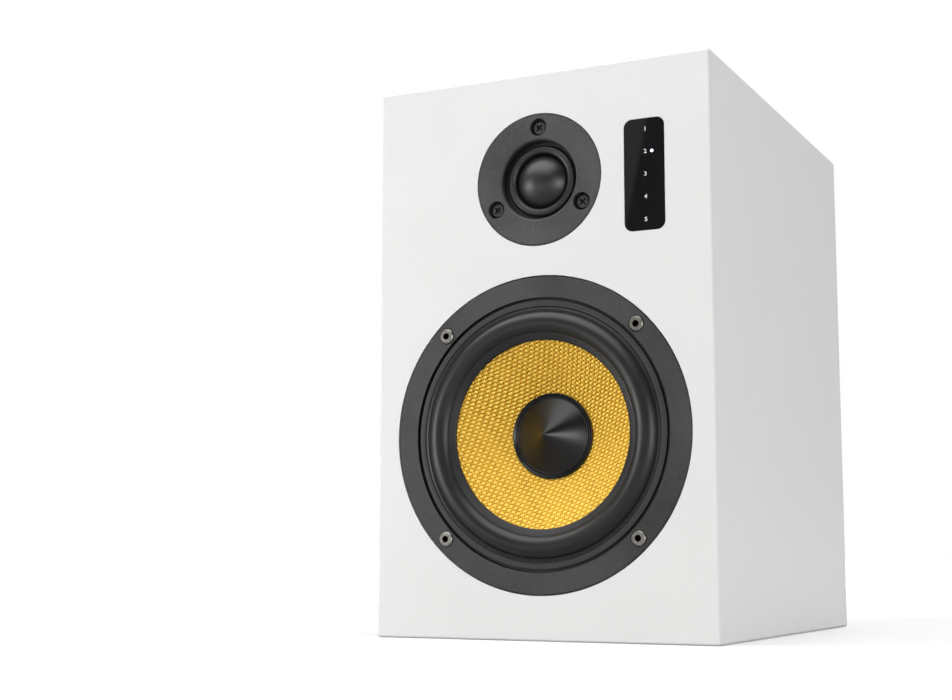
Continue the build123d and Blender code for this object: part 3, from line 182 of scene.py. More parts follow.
# Floor levels as shares of white, and between which distances in metres its glow and nap change
FLOOR_REACH = 30.0
FLOOR_BOUNCE = 0.1
FLOOR_MOTTLE = 0.04
FLOOR_PATCH = 0.4
FLOOR_SEEN = 0.52
FLOOR_GLOW_NEAR = 0.05
FLOOR_GLOW_FAR = 1.0
FLOOR_GLOW_SPAN = (0.45, 1.3)
FLOOR_NAP_SPAN = (0.7, 1.3)

# Card that the window mirrors: level, place and outline in metres, with two X, Z points on its edge
CARD_LEVEL = 0.38
CARD_Y = -1.5
CARD_FAR = -2.2
CARD_FOOT, CARD_TOP = 0.1, 1.5
CARD_EDGE = ((-0.449, 0.662), (-0.470, 0.568))
CARD_PATCH = 0.5


# Places and sizes read from the frame
def middle(node):
    """Middle of a CAD node's box."""
    low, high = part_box(node)
    return (low + high) / 2


def radii(node, z):
    """Least and greatest distance of a round node's points from its axis along Y."""
    points = np.array([vertex.co for vertex in nodes[node].data.vertices])
    distance = np.hypot(points[:, 0], points[:, 2] - z)
    return distance.min(), distance.max()


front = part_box("front_baffle")[0].y
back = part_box("rear_panel")[1].y
woofer_z = middle("woofer_trim_ring").z
tweeter_z = middle("tweeter_faceplate").z

# Finishes: how grain and mottle mix, where the tones lie on the mix, and how far gloss varies
GRAIN_SHARE = 0.6
TONE_RANGE = (0.55, 1.05)
# Painted shade in grooves and bores, with black paint in the basket's groove: its place on the mix and the
# depth over which it sets in
SHADE_AND_PAINT_TONE = 0.1
SHADE_AND_PAINT_FADE = 0.4 * MM
GLOSS_VARIES = 0.12
WHITE = (1, 1, 1, 1)


def srgb(*channels):
    """Linear colour of an sRGB triple from 0 to 255."""
    linear = [((c / 255 + 0.055) / 1.055) ** 2.4 if c > 10 else c / 3294.6 for c in channels]
    return (*linear, 1.0)


class Finish:
    """A procedural surface: one Principled shader and the textures that drive it."""

    def __init__(self, name, **sockets):
        self.material = bpy.data.materials.new(name)
        self.material.use_nodes = True
        self.nodes = self.material.node_tree.nodes
        self.links = self.material.node_tree.links
        self.shader = self.nodes["Principled BSDF"]
        for socket, value in sockets.items():
            self.shader.inputs[socket.replace("_", " ")].default_value = value
        self.place = self.nodes.new("ShaderNodeTexCoord").outputs["Object"]

    def feed(self, socket, value):
        """Sets a socket to a value, or links another node's output to it."""
        if isinstance(value, bpy.types.NodeSocket):
            self.links.new(value, socket)
        else:
            socket.default_value = value

    def add(self, kind, settings=None, **inputs):
        """A new node with its settings and inputs, which are values or other nodes' outputs."""
        node = self.nodes.new("ShaderNode" + kind)
        for name, value in (settings or {}).items():
            setattr(node, name, value)
        for name, value in inputs.items():
            self.feed(node.inputs[name.replace("_", " ")], value)
        return node

    def combine(self, operation, *terms, clamp=False):
        """Result of a sum, product or the like of values and other nodes' outputs."""
        node = self.add("Math", {"operation": operation, "use_clamp": clamp})
        for socket, term in zip(node.inputs, terms):
            self.feed(socket, term)
        return node.outputs["Value"]

    def spread(self, value, span=(0, 1), low=0.0, high=1.0, kind="LINEAR"):
        """A value that goes from low to high over a span and stays there beyond it."""
        node = self.add(
            "MapRange", {"interpolation_type": kind},
            Value=value, From_Min=span[0], From_Max=span[1], To_Min=low, To_Max=high,
        )
        return node.outputs["Result"]

    def drive(self, socket, output):
        """Feeds a shader socket."""
        self.links.new(output, self.shader.inputs[socket])

    def grain(self, size, detail=3.0, stretch=(1, 1, 1)):
        """Noise with features of about that size in metres, stretched along the axes."""
        mapping = self.add("Mapping", Vector=self.place, Scale=[1 / axis for axis in stretch])
        texture = self.add("TexNoise", Vector=mapping.outputs["Vector"], Scale=1 / size, Detail=detail)
        return texture.outputs["Fac"]

    def colours(self, factor, dark, light, low=0.3, high=0.7):
        """Base colour between two tones."""
        ramp = self.add("ValToRGB", Fac=factor)
        ramp.color_ramp.elements[0].position = low
        ramp.color_ramp.elements[0].color = dark
        ramp.color_ramp.elements[1].position = high
        ramp.color_ramp.elements[1].color = light
        self.drive("Base Color", ramp.outputs["Color"])
        return ramp

    def gloss(self, factor, low, high):
        """Roughness between two values."""
        self.drive("Roughness", self.spread(factor, low=low, high=high))

    def shade_and_paint_below(self, factor, start, end):
        """A factor that falls by one from one depth along Y to another; it paints shade deeper in, and the
        basket's groove also gets its black paint from it.
        """
        depth = self.add("SeparateXYZ", Vector=self.place).outputs["Y"]
        return self.combine("SUBTRACT", factor, self.spread(depth, (start, end)), clamp=True)

    def relief(self, height, depth):
        """Bump of that depth in metres."""
        bump = self.add("Bump", Height=height, Distance=depth, Strength=1.0)
        self.drive("Normal", bump.outputs["Normal"])


def coated(name, dark, light, rough, grain, depth, mottle=0.02, detail=3.0, black_paint_and_shade_below=None, **sockets):
    """Paint or moulded plastic: slow mottle in the colour, fine grain in gloss and relief.

    Below a depth behind the front, as in grooves and bores, the colour falls to black: painted shade, and in
    the basket's groove black paint as well.
    """
    finish = Finish(name, **sockets)
    fine = finish.grain(grain, detail)
    slow = finish.grain(mottle, 2.0)
    tone = finish.combine("MULTIPLY_ADD", fine, GRAIN_SHARE, slow)
    # Painted shade below the given depth, with black paint as well in the basket's groove
    if black_paint_and_shade_below is not None:
        tone = finish.shade_and_paint_below(tone, front + black_paint_and_shade_below, front + black_paint_and_shade_below + SHADE_AND_PAINT_FADE)
    ramp = finish.colours(tone, srgb(*dark), srgb(*light), *TONE_RANGE)
    if black_paint_and_shade_below is not None:
        ramp.color_ramp.elements.new(SHADE_AND_PAINT_TONE).color = srgb(4, 4, 4)
    finish.gloss(slow, rough * (1 - GLOSS_VARIES), rough * (1 + GLOSS_VARIES))
    finish.relief(fine, depth)
    return finish.material


def metal(name, dark, light, rough, stretch):
    """Plated or turned metal with fine marks drawn out along an axis."""
    finish = Finish(name, Metallic=1.0)
    marks = finish.grain(0.2 * MM, 4.0, stretch)
    finish.colours(marks, srgb(*dark), srgb(*light))
    finish.gloss(marks, rough * 0.8, rough * 1.25)
    finish.relief(marks, 0.004 * MM)
    return finish.material


white_lacquer = coated(
    "white_lacquer", (234, 234, 233), (237, 237, 236), 0.36, 0.5 * MM, 0.003 * MM, mottle=0.06,
    Coat_Weight=0.1, Coat_Roughness=0.25,
)
# The basket goes black below its face: black paint in the groove, painted shade in the chamfer and the
# screws' counterbores
basket_grey = coated(
    "basket_grey", (24, 24, 24), (50, 50, 50), 0.5, 0.8 * MM, 0.14 * MM, mottle=0.04, detail=5.0,
    black_paint_and_shade_below=0.3 * MM, Specular_IOR_Level=0.6,
)
# The faceplate goes black down the mouth's wall: painted shade
faceplate_grey = coated(
    "faceplate_grey", (33, 33, 34), (68, 68, 69), 0.52, 0.8 * MM, 0.16 * MM, mottle=0.04, detail=5.0,
    black_paint_and_shade_below=2.8 * MM,
)
# The trim ring goes black down its rolled edges: painted shade
trim_black = coated(
    "trim_black", (36, 36, 38), (42, 42, 44), 0.45, 0.12 * MM, 0.003 * MM, black_paint_and_shade_below=0.45 * MM
)
rubber_black = coated(
    "rubber_black", (18, 18, 18), (24, 24, 24), 0.38, 0.2 * MM, 0.002 * MM, Specular_IOR_Level=0.42
)
lip_black = coated(
    "lip_black", (20, 20, 22), (38, 38, 41), 0.4, 0.15 * MM, 0.01 * MM, Specular_IOR_Level=0.34
)
cap_black = coated(
    "cap_black", (6, 6, 6), (10, 9, 9), 0.3, 0.09 * MM, 0.001 * MM, Specular_IOR_Level=0.43
)
dome_black = coated(
    "dome_black", (8, 8, 9), (14, 14, 15), 0.41, 0.11 * MM, 0.002 * MM, Specular_IOR_Level=0.6
)
fold_black = coated("fold_black", (20, 20, 21), (32, 32, 33), 0.42, 0.12 * MM, 0.005 * MM)
window_gloss = coated("window_gloss", (21, 21, 21), (24, 24, 24), 0.03, 2.0 * MM, 0.0002 * MM)
moulded_black = coated("moulded_black", (26, 26, 27), (40, 40, 41), 0.5, 0.2 * MM, 0.012 * MM)
port_black = coated("port_black", (28, 28, 29), (44, 44, 45), 0.55, 0.35 * MM, 0.03 * MM)
plate_black = coated("plate_black", (34, 34, 35), (50, 50, 51), 0.5, 0.3 * MM, 0.03 * MM)
knob_black = coated("knob_black", (26, 26, 27), (40, 40, 41), 0.4, 0.15 * MM, 0.006 * MM)
foam_black = coated("foam_black", (32, 32, 32), (58, 58, 58), 0.9, 0.4 * MM, 0.12 * MM)
wire_cover = coated("wire_cover", (60, 61, 63), (84, 85, 87), 0.45, 0.5 * MM, 0.01 * MM)
aux_white = coated("aux_white", (226, 225, 220), (238, 237, 233), 0.3, 0.3 * MM, 0.004 * MM)
aux_red = coated("aux_red", (158, 16, 20), (188, 28, 30), 0.3, 0.3 * MM, 0.004 * MM)
lever_red = coated("lever_red", (170, 18, 22), (198, 32, 34), 0.32, 0.3 * MM, 0.006 * MM)
component_dark = coated("component_dark", (38, 40, 46), (66, 68, 74), 0.45, 0.4 * MM, 0.01 * MM)
laminate = coated("laminate", (120, 82, 42), (156, 112, 62), 0.5, 0.5 * MM, 0.01 * MM)
motor_steel = metal("motor_steel", (150, 150, 152), (190, 190, 192), 0.32, (12, 1, 1))
nickel = metal("nickel", (188, 186, 180), (222, 220, 214), 0.16, (1, 6, 1))
brass = metal("brass", (188, 150, 88), (222, 188, 122), 0.28, (1, 6, 1))
copper = metal("copper", (168, 92, 56), (214, 132, 88), 0.3, (8, 0.6, 8))
ferrite = coated("ferrite", (58, 58, 61), (88, 88, 92), 0.7, 0.6 * MM, 0.08 * MM, mottle=0.01)


def board_green():
    """Solder-masked laminate with paler copper runs under the mask."""
    finish = Finish("board_green", Coat_Weight=0.4, Coat_Roughness=0.2)
    cells = finish.add("TexVoronoi", {"distance": "CHEBYCHEV"}, Vector=finish.place, Scale=1 / (3.2 * MM))
    runs = cells.outputs["Distance"]
    finish.colours(runs, srgb(14, 74, 42), srgb(34, 112, 62), 0.3, 0.5)
    finish.gloss(finish.grain(2 * MM), 0.3, 0.42)
    finish.relief(runs, 0.02 * MM)
    return finish.material


def socketed(name, node, depth, dark, light, rough, metallic):
    """Screw heads, in their own colour outside and darkened by painted shade down in their drive sockets."""
    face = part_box(node)[0].y
    finish = Finish(name, Metallic=metallic)
    marks = finish.grain(0.35 * MM, 4.0)
    # Painted shade down in the drive socket
    tone = finish.shade_and_paint_below(marks, face + 0.8 * depth, face + depth)
    finish.colours(tone, srgb(*dark), srgb(*light), 0.1, 0.6)
    finish.gloss(marks, 0.85 * rough, 1.15 * rough)
    finish.relief(marks, 0.005 * MM)
    return finish.material


def thread_yellow():
    """Resin-coated fibre: fine filaments along each thread, threads that differ a little, and painted light
    from the weave's shade attribute.
    """
    finish = Finish("thread_yellow", Metallic=0.45, Anisotropic=0.8, Anisotropic_Rotation=0.25)
    fibre = finish.add("Tangent", {"direction_type": "UV_MAP", "uv_map": "thread"})
    finish.drive("Tangent", fibre.outputs["Tangent"])
    lengthwise = finish.add("UVMap", {"uv_map": "thread"})
    stretched = finish.add("Mapping", Vector=lengthwise.outputs["UV"], Scale=(0.6, 9.0, 1.0))
    noisy = finish.add("TexNoise", Vector=stretched.outputs["Vector"], Scale=2.0, Detail=2.0)
    filaments = noisy.outputs["Fac"]
    # The shade attribute is painted shade where threads dip low, a painted highlight on one direction's
    # threads and painted shade on the other's, and each thread's random tone
    shade = finish.add("Attribute", {"attribute_name": "shade"}).outputs["Fac"]
    tone = finish.combine("MULTIPLY_ADD", filaments, 0.5, shade)
    ramp = finish.colours(tone, srgb(96, 56, 0), srgb(255, 216, 92), 0.34, 1.02)
    ramp.color_ramp.elements.new(0.72).color = srgb(218, 158, 22)
    finish.gloss(filaments, 0.32, 0.44)
    finish.relief(filaments, 0.02 * MM)
    return finish.material


def cloth_tan(name, dark, light, size):
    """Stiffened plain-weave cloth."""
    finish = Finish(name)
    warp, weft = (
        finish.add("TexWave", {"bands_direction": axis}, Vector=finish.place, Scale=0.3 / size)
        for axis in "XZ"
    )
    cross = finish.combine("MULTIPLY", warp.outputs["Fac"], weft.outputs["Fac"])
    finish.colours(cross, srgb(*dark), srgb(*light), 0.1, 0.8)
    finish.gloss(cross, 0.85, 0.7)
    finish.relief(cross, 0.1 * MM)
    return finish.material


def lamp_white():
    """A lit lamp behind the window, with a faint blue cast in patches."""
    finish = Finish("lamp_white", Emission_Strength=1.3)
    glow = finish.add("TexNoise", Vector=finish.place, Scale=1 / (0.6 * MM))
    ramp = finish.colours(glow.outputs["Fac"], srgb(196, 222, 255), srgb(248, 251, 255))
    finish.drive("Emission Color", ramp.outputs["Color"])
    return finish.material


green = board_green()
bright_steel = socketed(
    "bright_steel", "woofer_screws", 0.6 * MM, (12, 12, 11), (160, 156, 150), 0.36, 1.0
)
black_screw = socketed("black_screw", "tweeter_screws", 0.7 * MM, (3, 3, 3), (64, 64, 65), 0.3, 0.0)
panel_screw = coated("panel_screw", (20, 20, 21), (36, 36, 37), 0.34, 0.3 * MM, 0.005 * MM)
yarn = thread_yellow()
lamp_glow = lamp_white()
spider_cloth = cloth_tan("spider_cloth", (150, 112, 62), (206, 168, 110), 0.5 * MM)
# Dark brown: painted shade where the backing shows between the threads
shaded_backing = cloth_tan("shaded_backing", (92, 54, 4), (132, 84, 12), 0.4 * MM)
print_white = coated("print_white", (232, 232, 234), (248, 248, 250), 0.5, 0.1 * MM, 0.001 * MM)
print_grey = coated("print_grey", (176, 176, 178), (206, 206, 208), 0.55, 0.1 * MM, 0.001 * MM)
wadding_white = coated(
    "wadding_white", (205, 205, 200), (238, 238, 234), 0.95, 1.2 * MM, 0.5 * MM, Sheen_Weight=0.3
)

FINISH_OF_NODE = {
    "front_baffle": white_lacquer, "left_panel": white_lacquer, "right_panel": white_lacquer,
    "top_panel": white_lacquer, "bottom_panel": white_lacquer, "rear_panel": white_lacquer,
    "woofer_basket": basket_grey, "woofer_screws": bright_steel, "woofer_voice_coil": copper,
    "woofer_top_plate": motor_steel, "woofer_magnet": ferrite, "woofer_yoke": motor_steel,
    "tweeter_faceplate": faceplate_grey, "tweeter_voice_coil": copper, "tweeter_pole_disc": motor_steel,
    "tweeter_magnet": ferrite, "tweeter_yoke": motor_steel, "tweeter_screws": black_screw,
    "driver_gaskets": foam_black, "driver_terminals": laminate, "display_window": window_gloss,
    "indicator_light_guides": moulded_black, "display_board": green, "port_tube": port_black,
    "amp_panel": plate_black, "panel_screws": panel_screw, "input_board": green, "amp_board": green,
    "board_spacers": brass, "power_supply_parts": component_dark, "crossover_board": green,
    "crossover_parts": component_dark, "volume_encoder": motor_steel, "volume_plunger": motor_steel,
    "volume_shaft": motor_steel, "volume_knob": knob_black, "aux_socket_white": aux_white,
    "aux_socket_red": aux_red, "socket_shells": nickel, "socket_tongues": moulded_black,
    "optical_socket": moulded_black, "optical_shutter": moulded_black, "clip_terminal": moulded_black,
    "clip_lever_red": lever_red, "clip_lever_black": knob_black, "power_switch": moulded_black,
    "power_rocker": knob_black, "mains_inlet": moulded_black, "mains_pins": nickel,
    "driver_wires": wire_cover, "display_cable": wire_cover,
}
for node, material in FINISH_OF_NODE.items():
    nodes[node].data.materials.clear()
    nodes[node].data.materials.append(material)


# Mesh tools
def placed(name, mesh, material):
    """Puts a mesh with its finish into the scene."""
    mesh.materials.append(material)
    piece = bpy.data.objects.new(name, mesh)
    bpy.context.scene.collection.objects.link(piece)
    return piece


def piece_from(name, vertices, faces, material, sharp=40):
    """A smooth-shaded piece, with edges sharper than that angle in degrees kept crisp."""
    mesh = bpy.data.meshes.new(name)
    mesh.from_pydata([tuple(v) for v in vertices], [], [tuple(f) for f in faces])
    shape = bmesh.new()
    shape.from_mesh(mesh)
    bmesh.ops.remove_doubles(shape, verts=shape.verts, dist=1e-7)
    bmesh.ops.recalc_face_normals(shape, faces=shape.faces)
    shape.to_mesh(mesh)
    shape.free()
    mesh.shade_smooth()
    mesh.set_sharp_from_angle(angle=radians(sharp))
    piece = placed(name, mesh, material)
    return piece


def mesh_of(curve):
    """The mesh of a curve or a text, under its name."""
    source = bpy.data.objects.new(curve.name, curve)
    mesh = bpy.data.meshes.new_from_object(source)
    bpy.data.objects.remove(source)
    mesh.name = curve.name
    return mesh


def arc(start, through, end, steps=16):
    """Points on the circle through three points of a section, first and last included."""
    (ax, ay), (bx, by), (cx, cy) = start, through, end
    d = 2 * (ax * (by - cy) + bx * (cy - ay) + cx * (ay - by))
    a2, b2, c2 = ax * ax + ay * ay, bx * bx + by * by, cx * cx + cy * cy
    centre_x = (a2 * (by - cy) + b2 * (cy - ay) + c2 * (ay - by)) / d
    centre_y = (a2 * (cx - bx) + b2 * (ax - cx) + c2 * (bx - ax)) / d
    radius = np.hypot(ax - centre_x, ay - centre_y)
    first, via, last = (np.arctan2(y - centre_y, x - centre_x) for x, y in (start, through, end))
    turn = (last - first) % (2 * pi)
    if (via - first) % (2 * pi) > turn:
        turn -= 2 * pi
    angles = first + turn * np.linspace(0, 1, steps + 1)
    return [(centre_x + radius * cos(a), centre_y + radius * sin(a)) for a in angles]


def round_axis(angles, radius, depth, z):
    """Points at those radii and depths behind the front, at those angles round a driver's axis."""
    x = np.outer(np.cos(angles), radius)
    y = front + depth * np.ones_like(x)
    up = z + np.outer(np.sin(angles), radius)
    return np.stack([x, y, up], -1).reshape(-1, 3)


def ring_faces(segments, count):
    """Quads between a closed section of that many points and its copies round an axis."""
    k = np.arange(count)
    after_k = (k + 1) % count
    turn = np.arange(segments)[:, None]
    this, after = turn * count, (turn + 1) % segments * count
    return np.stack([this + k, this + after_k, after + after_k, after + k], -1).reshape(-1, 4)


def turned(name, section, z, material, segments=256, sharp=40):
    """A closed section of radius and depth, turned about a driver's axis."""
    section = np.array(section)
    angles = 2 * pi * np.arange(segments) / segments
    vertices = round_axis(angles, section[:, 0], section[:, 1], z)
    return piece_from(name, vertices, ring_faces(segments, len(section)), material, sharp)


def stretch_between(piece):
    """Moves a piece's placement into its mesh."""
    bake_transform(piece)


# Woofer: sizes that follow from the frame
trim_bore, trim_radius = radii("woofer_trim_ring", woofer_z)
neck_radius, cone_rim = radii("woofer_cone", woofer_z)
lip_radius, rim_radius = radii("woofer_surround", woofer_z)
cap_radius = radii("woofer_dust_cap", woofer_z)[1]
trim_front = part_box("woofer_trim_ring")[0].y - front
rim_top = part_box("woofer_trim_ring")[1].y - front
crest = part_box("woofer_surround")[0].y - front
cone_front, cone_back = (corner.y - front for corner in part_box("woofer_cone"))
roll_outer = trim_bore - ROLL_STEP
roll_inner = cone_rim + GLUE_GAP
roll_middle = (roll_outer + roll_inner) / 2
cone_fall = (cone_back - CONE_THICKNESS - cone_front) / (cone_rim - neck_radius)


def cone_depth(radius):
    """Depth of the cone's front face at a radius."""
    return cone_front + (cone_rim - radius) * cone_fall


def trim_ring():
    """Flat ring over the surround's rim, with a rolled outer and inner edge."""
    bend = 0.3 * TRIM_EDGE
    edge_back = trim_front + TRIM_EDGE
    bend_back = trim_front + bend
    section = [
        (trim_bore, rim_top),
        *arc((trim_bore, edge_back), (trim_bore + bend, bend_back), (trim_bore + TRIM_EDGE, trim_front), 5),
        *arc(
            (trim_radius - TRIM_EDGE, trim_front), (trim_radius - bend, bend_back),
            (trim_radius, edge_back), 5,
        ),
        (trim_radius, rim_top),
    ]
    ring = turned("trim_ring", section, woofer_z, trim_black)
    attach(ring, "cabinet")
    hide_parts("woofer_trim_ring")


def surround():
    """Rubber rim, bead and half roll between the basket and the cone."""
    bead = BEAD_WIDTH
    shelf = trim_front + RIM_SINK
    shelf_edge = trim_bore - RIM_GAP
    rim_back = rim_top + RIM_THICKNESS
    foot = cone_depth(roll_inner) - GLUE_GAP
    section = [
        *arc((roll_inner, foot - LIP_THICKNESS), (roll_middle, crest), (roll_outer + 0.4 * bead, shelf), 40),
        *arc(
            (roll_outer + bead, shelf), (roll_outer + 1.5 * bead, shelf - BEAD_RISE),
            (roll_outer + 2 * bead, shelf), 10,
        ),
        (shelf_edge, shelf),
        (shelf_edge, rim_top),
        (rim_radius, rim_top),
        (rim_radius, rim_back),
        *arc((roll_outer - RUBBER, rim_back), (roll_middle, crest + RUBBER), (roll_inner + RUBBER, foot), 32),
        (roll_inner, foot),
    ]
    roll = turned("surround_roll", section, woofer_z, rubber_black, 288, 60)
    stretch_between(roll)
    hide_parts("woofer_surround")


def surround_lip():
    """Lip glued to the cone, pressed with fine slanting ribs."""
    ribs = round(2 * pi * lip_radius / LIP_RIB_PITCH)
    segments = ribs * POINTS_PER_RIB
    angles = 2 * pi * np.arange(segments) / segments
    share = np.linspace(0, 1, LIP_ROWS)
    radius = lip_radius + (roll_inner - lip_radius) * share
    slant = 2 * pi * (roll_inner - lip_radius) * share / LIP_RIB_PITCH
    lift = LIP_RIB_HEIGHT * (0.5 + 0.5 * np.cos(ribs * angles[:, None] + slant[None, :]))
    lift *= np.minimum(1, 6 * np.minimum(share, 1 - share))[None, :]
    base = cone_depth(radius) - GLUE_GAP
    top = base - LIP_THICKNESS - lift
    depth = np.concatenate([top, np.tile(base[::-1], (segments, 1))], 1)
    reach = np.concatenate([radius, radius[::-1]])
    vertices = round_axis(angles, reach, depth, woofer_z)
    faces = ring_faces(segments, 2 * LIP_ROWS)
    lip = piece_from("surround_lip", vertices, faces, lip_black, 80)
    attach(lip, "woofer_moving")


def weave_thread(direction, index, along):
    """One thread, with rows of points across it: radius, point, shade (painted light and a random tone) and
    place along the fibre.
    """
    run, step_turn = THREAD_ANGLES[direction], THREAD_ANGLES[1 - direction]
    crown = THREAD_CROWN * np.sqrt(1 - THREAD_FLATTENS * THREAD_ACROSS**2)
    u = np.repeat(along[:, None], len(THREAD_ACROSS), 1)
    v = np.tile(THREAD_ACROSS * THREAD_WIDTH / 2, (len(along), 1))
    wave = np.cos(pi * (u / THREAD_PITCH + index)) * (1 if direction else -1)
    height = THREAD_WAVE * wave + crown - THREAD_WAVE - THREAD_CROWN
    x = u * cos(run) - v * sin(run) + index * THREAD_PITCH * cos(step_turn)
    z = u * sin(run) + v * cos(run) + index * THREAD_PITCH * sin(step_turn)
    radius = np.hypot(x, z)
    tilt = atan(cone_fall)
    inward = height * sin(tilt) / np.maximum(radius, MM)
    depth = cone_depth(radius) - height * cos(tilt)
    point = np.stack([x * (1 - inward), front + depth, woofer_z + z * (1 - inward)], -1)
    # Painted shade where the thread dips low, a painted highlight on the first direction's threads and
    # painted shade on the second's, and a random tone for each thread
    share = 1 + height / (2 * THREAD_WAVE + THREAD_CROWN)
    shade = THREAD_PAINTED_SHADE * share + THREAD_PAINTED_LIGHT[direction] + random.uniform(0, THREAD_VARIES)
    place = np.stack([u / THREAD_PITCH + THREAD_OFFSET * index, v / THREAD_PITCH], -1)
    return radius, point, shade, place


def whole_faces(kept, start):
    """Quads of a grid of points, numbered from start, whose four corners are all kept."""
    whole = kept[:-1, :-1] & kept[1:, :-1] & kept[:-1, 1:] & kept[1:, 1:]
    row, column = np.nonzero(whole)
    width = kept.shape[1]
    first = start + row * width + column
    return np.stack([first, first + 1, first + width + 1, first + width], -1)


def face_forwards(mesh):
    """Turns every face of a sheet towards the listener."""
    shape = bmesh.new()
    shape.from_mesh(mesh)
    for face in shape.faces:
        if face.normal.y > 0:
            face.normal_flip()
    shape.to_mesh(mesh)
    shape.free()


def cone_weave():
    """Plain weave drawn over the cone: every thread passes over and under the ones that it crosses."""
    inner, outer = cap_radius - WEAVE_UNDER_CAP, lip_radius + WEAVE_UNDER_LIP
    step = THREAD_PITCH / POINTS_PER_PITCH
    along = np.arange(-1.3 * outer, 1.3 * outer + step, step)
    count = int(1.1 * outer / THREAD_PITCH)
    points, faces, shades, places = [], [], [], []
    for direction in (0, 1):
        for index in range(-count, count + 1):
            radius, point, shade, place = weave_thread(direction, index, along)
            faces.append(whole_faces((radius > inner) & (radius < outer), len(faces) * radius.size))
            points.append(point.reshape(-1, 3))
            shades.append(shade.ravel())
            places.append(place.reshape(-1, 2))
    used, corner = np.unique(np.concatenate(faces), return_inverse=True)
    corner = corner.reshape(-1)
    mesh = bpy.data.meshes.new("cone_weave")
    mesh.from_pydata(np.concatenate(points)[used].tolist(), [], corner.reshape(-1, 4).tolist())
    # Each point's painted light and random tone, for the yarn's colour
    mesh.attributes.new("shade", "FLOAT", "POINT").data.foreach_set("value", np.concatenate(shades)[used])
    fibre = np.concatenate(places)[used][corner]
    mesh.uv_layers.new(name="thread").data.foreach_set("uv", fibre.ravel())
    face_forwards(mesh)
    mesh.shade_smooth()
    weave = placed("cone_weave", mesh, yarn)
    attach(weave, "woofer_moving")
    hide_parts("woofer_cone")


def cone_backing():
    """The stiff shell behind the weave, dark brown as painted shade where it shows between the threads."""
    section = [
        (neck_radius, cone_depth(neck_radius) + WEAVE_DEPTH),
        (cone_rim, cone_depth(cone_rim) + WEAVE_DEPTH),
        (cone_rim, cone_depth(cone_rim) + CONE_THICKNESS),
        (neck_radius, cone_depth(neck_radius) + CONE_THICKNESS),
    ]
    backing = turned("cone_backing", section, woofer_z, shaded_backing)
    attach(backing, "woofer_moving")


def dust_cap():
    """Pointed cap with a blunt nose, a fine groove and a skirt on the cone."""
    skirt, wall, groove, nose = cap_radius, CAP_WALL, CAP_GROOVE, CAP_NOSE
    edge = skirt - CAP_SKIRT
    inside = edge - wall
    foot = cone_depth(edge) - GLUE_GAP - wall
    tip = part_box("woofer_dust_cap")[0].y - front
    rise = (foot - tip) / edge
    skirt_back = cone_depth(skirt) - GLUE_GAP
    section = [
        (0, tip + wall),
        *arc((0, tip), (nose / 2, tip + rise * nose / 4), (nose, tip + rise * nose), 8),
        (edge - 2.2 * groove, foot - 2.2 * groove * rise + 0.1 * groove),
        *arc(
            (edge - 1.6 * groove, foot - 1.6 * groove * rise), (edge - 0.8 * groove, foot - 1.5 * groove),
            (edge, foot + 0.1 * groove), 8,
        ),
        (edge, foot + groove),
        (edge + groove, foot + groove),
        *arc(
            (edge + groove, foot - 0.5 * groove), (edge + 1.3 * groove, foot - 0.95 * groove),
            (edge + 2 * groove, foot - groove), 4,
        ),
        *arc(
            (skirt - groove, skirt_back - wall), (skirt - 0.2 * groove, skirt_back - 0.8 * wall),
            (skirt, skirt_back - 0.4 * wall), 4,
        ),
        (skirt, skirt_back),
        (inside, cone_depth(inside) - GLUE_GAP),
        (inside, foot + wall),
    ]
    cap = turned("dust_cap", section, woofer_z, cap_black, 288, 30)
    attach(cap, "woofer_moving")
    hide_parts("woofer_dust_cap")


def spider():
    """Corrugated cloth ring between the basket's ledge and the coil's former."""
    low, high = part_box("woofer_spider")
    inner, outer = radii("woofer_spider", woofer_z)
    level = (low.y + high.y) / 2 - front
    collar, rim = inner + SPIDER_COLLAR, outer - SPIDER_RIM
    span = np.linspace(collar, rim, SPIDER_ROLLS * 10 + 1)
    ripple = -SPIDER_WAVE * np.sin(pi * SPIDER_ROLLS * (span - collar) / (rim - collar))
    face = [(inner, level), *zip(span, level + ripple), (outer, level)]
    half = SPIDER_CLOTH / 2
    section = [(r, d - half) for r, d in face] + [(r, d + half) for r, d in reversed(face)]
    ring = turned("spider", section, woofer_z, spider_cloth, 160, 50)
    stretch_between(ring)
    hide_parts("woofer_spider")


def tube(name, points, radius, material):
    """A round lead along a smooth curve through given points."""
    curve = bpy.data.curves.new(name, "CURVE")
    curve.dimensions = "3D"
    curve.bevel_depth = radius
    curve.bevel_resolution = 3
    curve.use_fill_caps = True
    line = curve.splines.new("NURBS")
    line.points.add(len(points) - 1)
    for target, point in zip(line.points, points):
        target.co = (*point, 1)
    line.order_u = 3
    line.use_endpoint_u = True
    line.resolution_u = 8
    mesh = mesh_of(curve)
    mesh.shade_smooth()
    piece = placed(name, mesh, material)
    return piece


def tinsel_leads():
    """Two braided leads that loop from the terminals to the back of the cone."""
    low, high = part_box("woofer_tinsel_leads")
    radius = TINSEL_RADIUS
    for side, label in ((-1, "left"), (1, "right")):
        x = side * (high.x - radius)
        points = [
            (x, high.y, low.z + radius),
            (x, high.y - 9.5 * MM, low.z + radius),
            (x, high.y - 19.5 * MM, low.z + 6.3 * MM),
            (x, low.y + 4.0 * MM, low.z + 16.5 * MM),
            (x, low.y + radius, high.z),
        ]
        lead = tube("tinsel_lead_" + label, points, radius, copper)
        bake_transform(lead)
        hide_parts("woofer_tinsel_leads")


# Tweeter: sizes that follow from the frame
dome_low, dome_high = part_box("tweeter_dome")
dome_radius = (dome_high.x - dome_low.x) / 2
dome_top, dome_foot = dome_low.y - front, dome_high.y - front


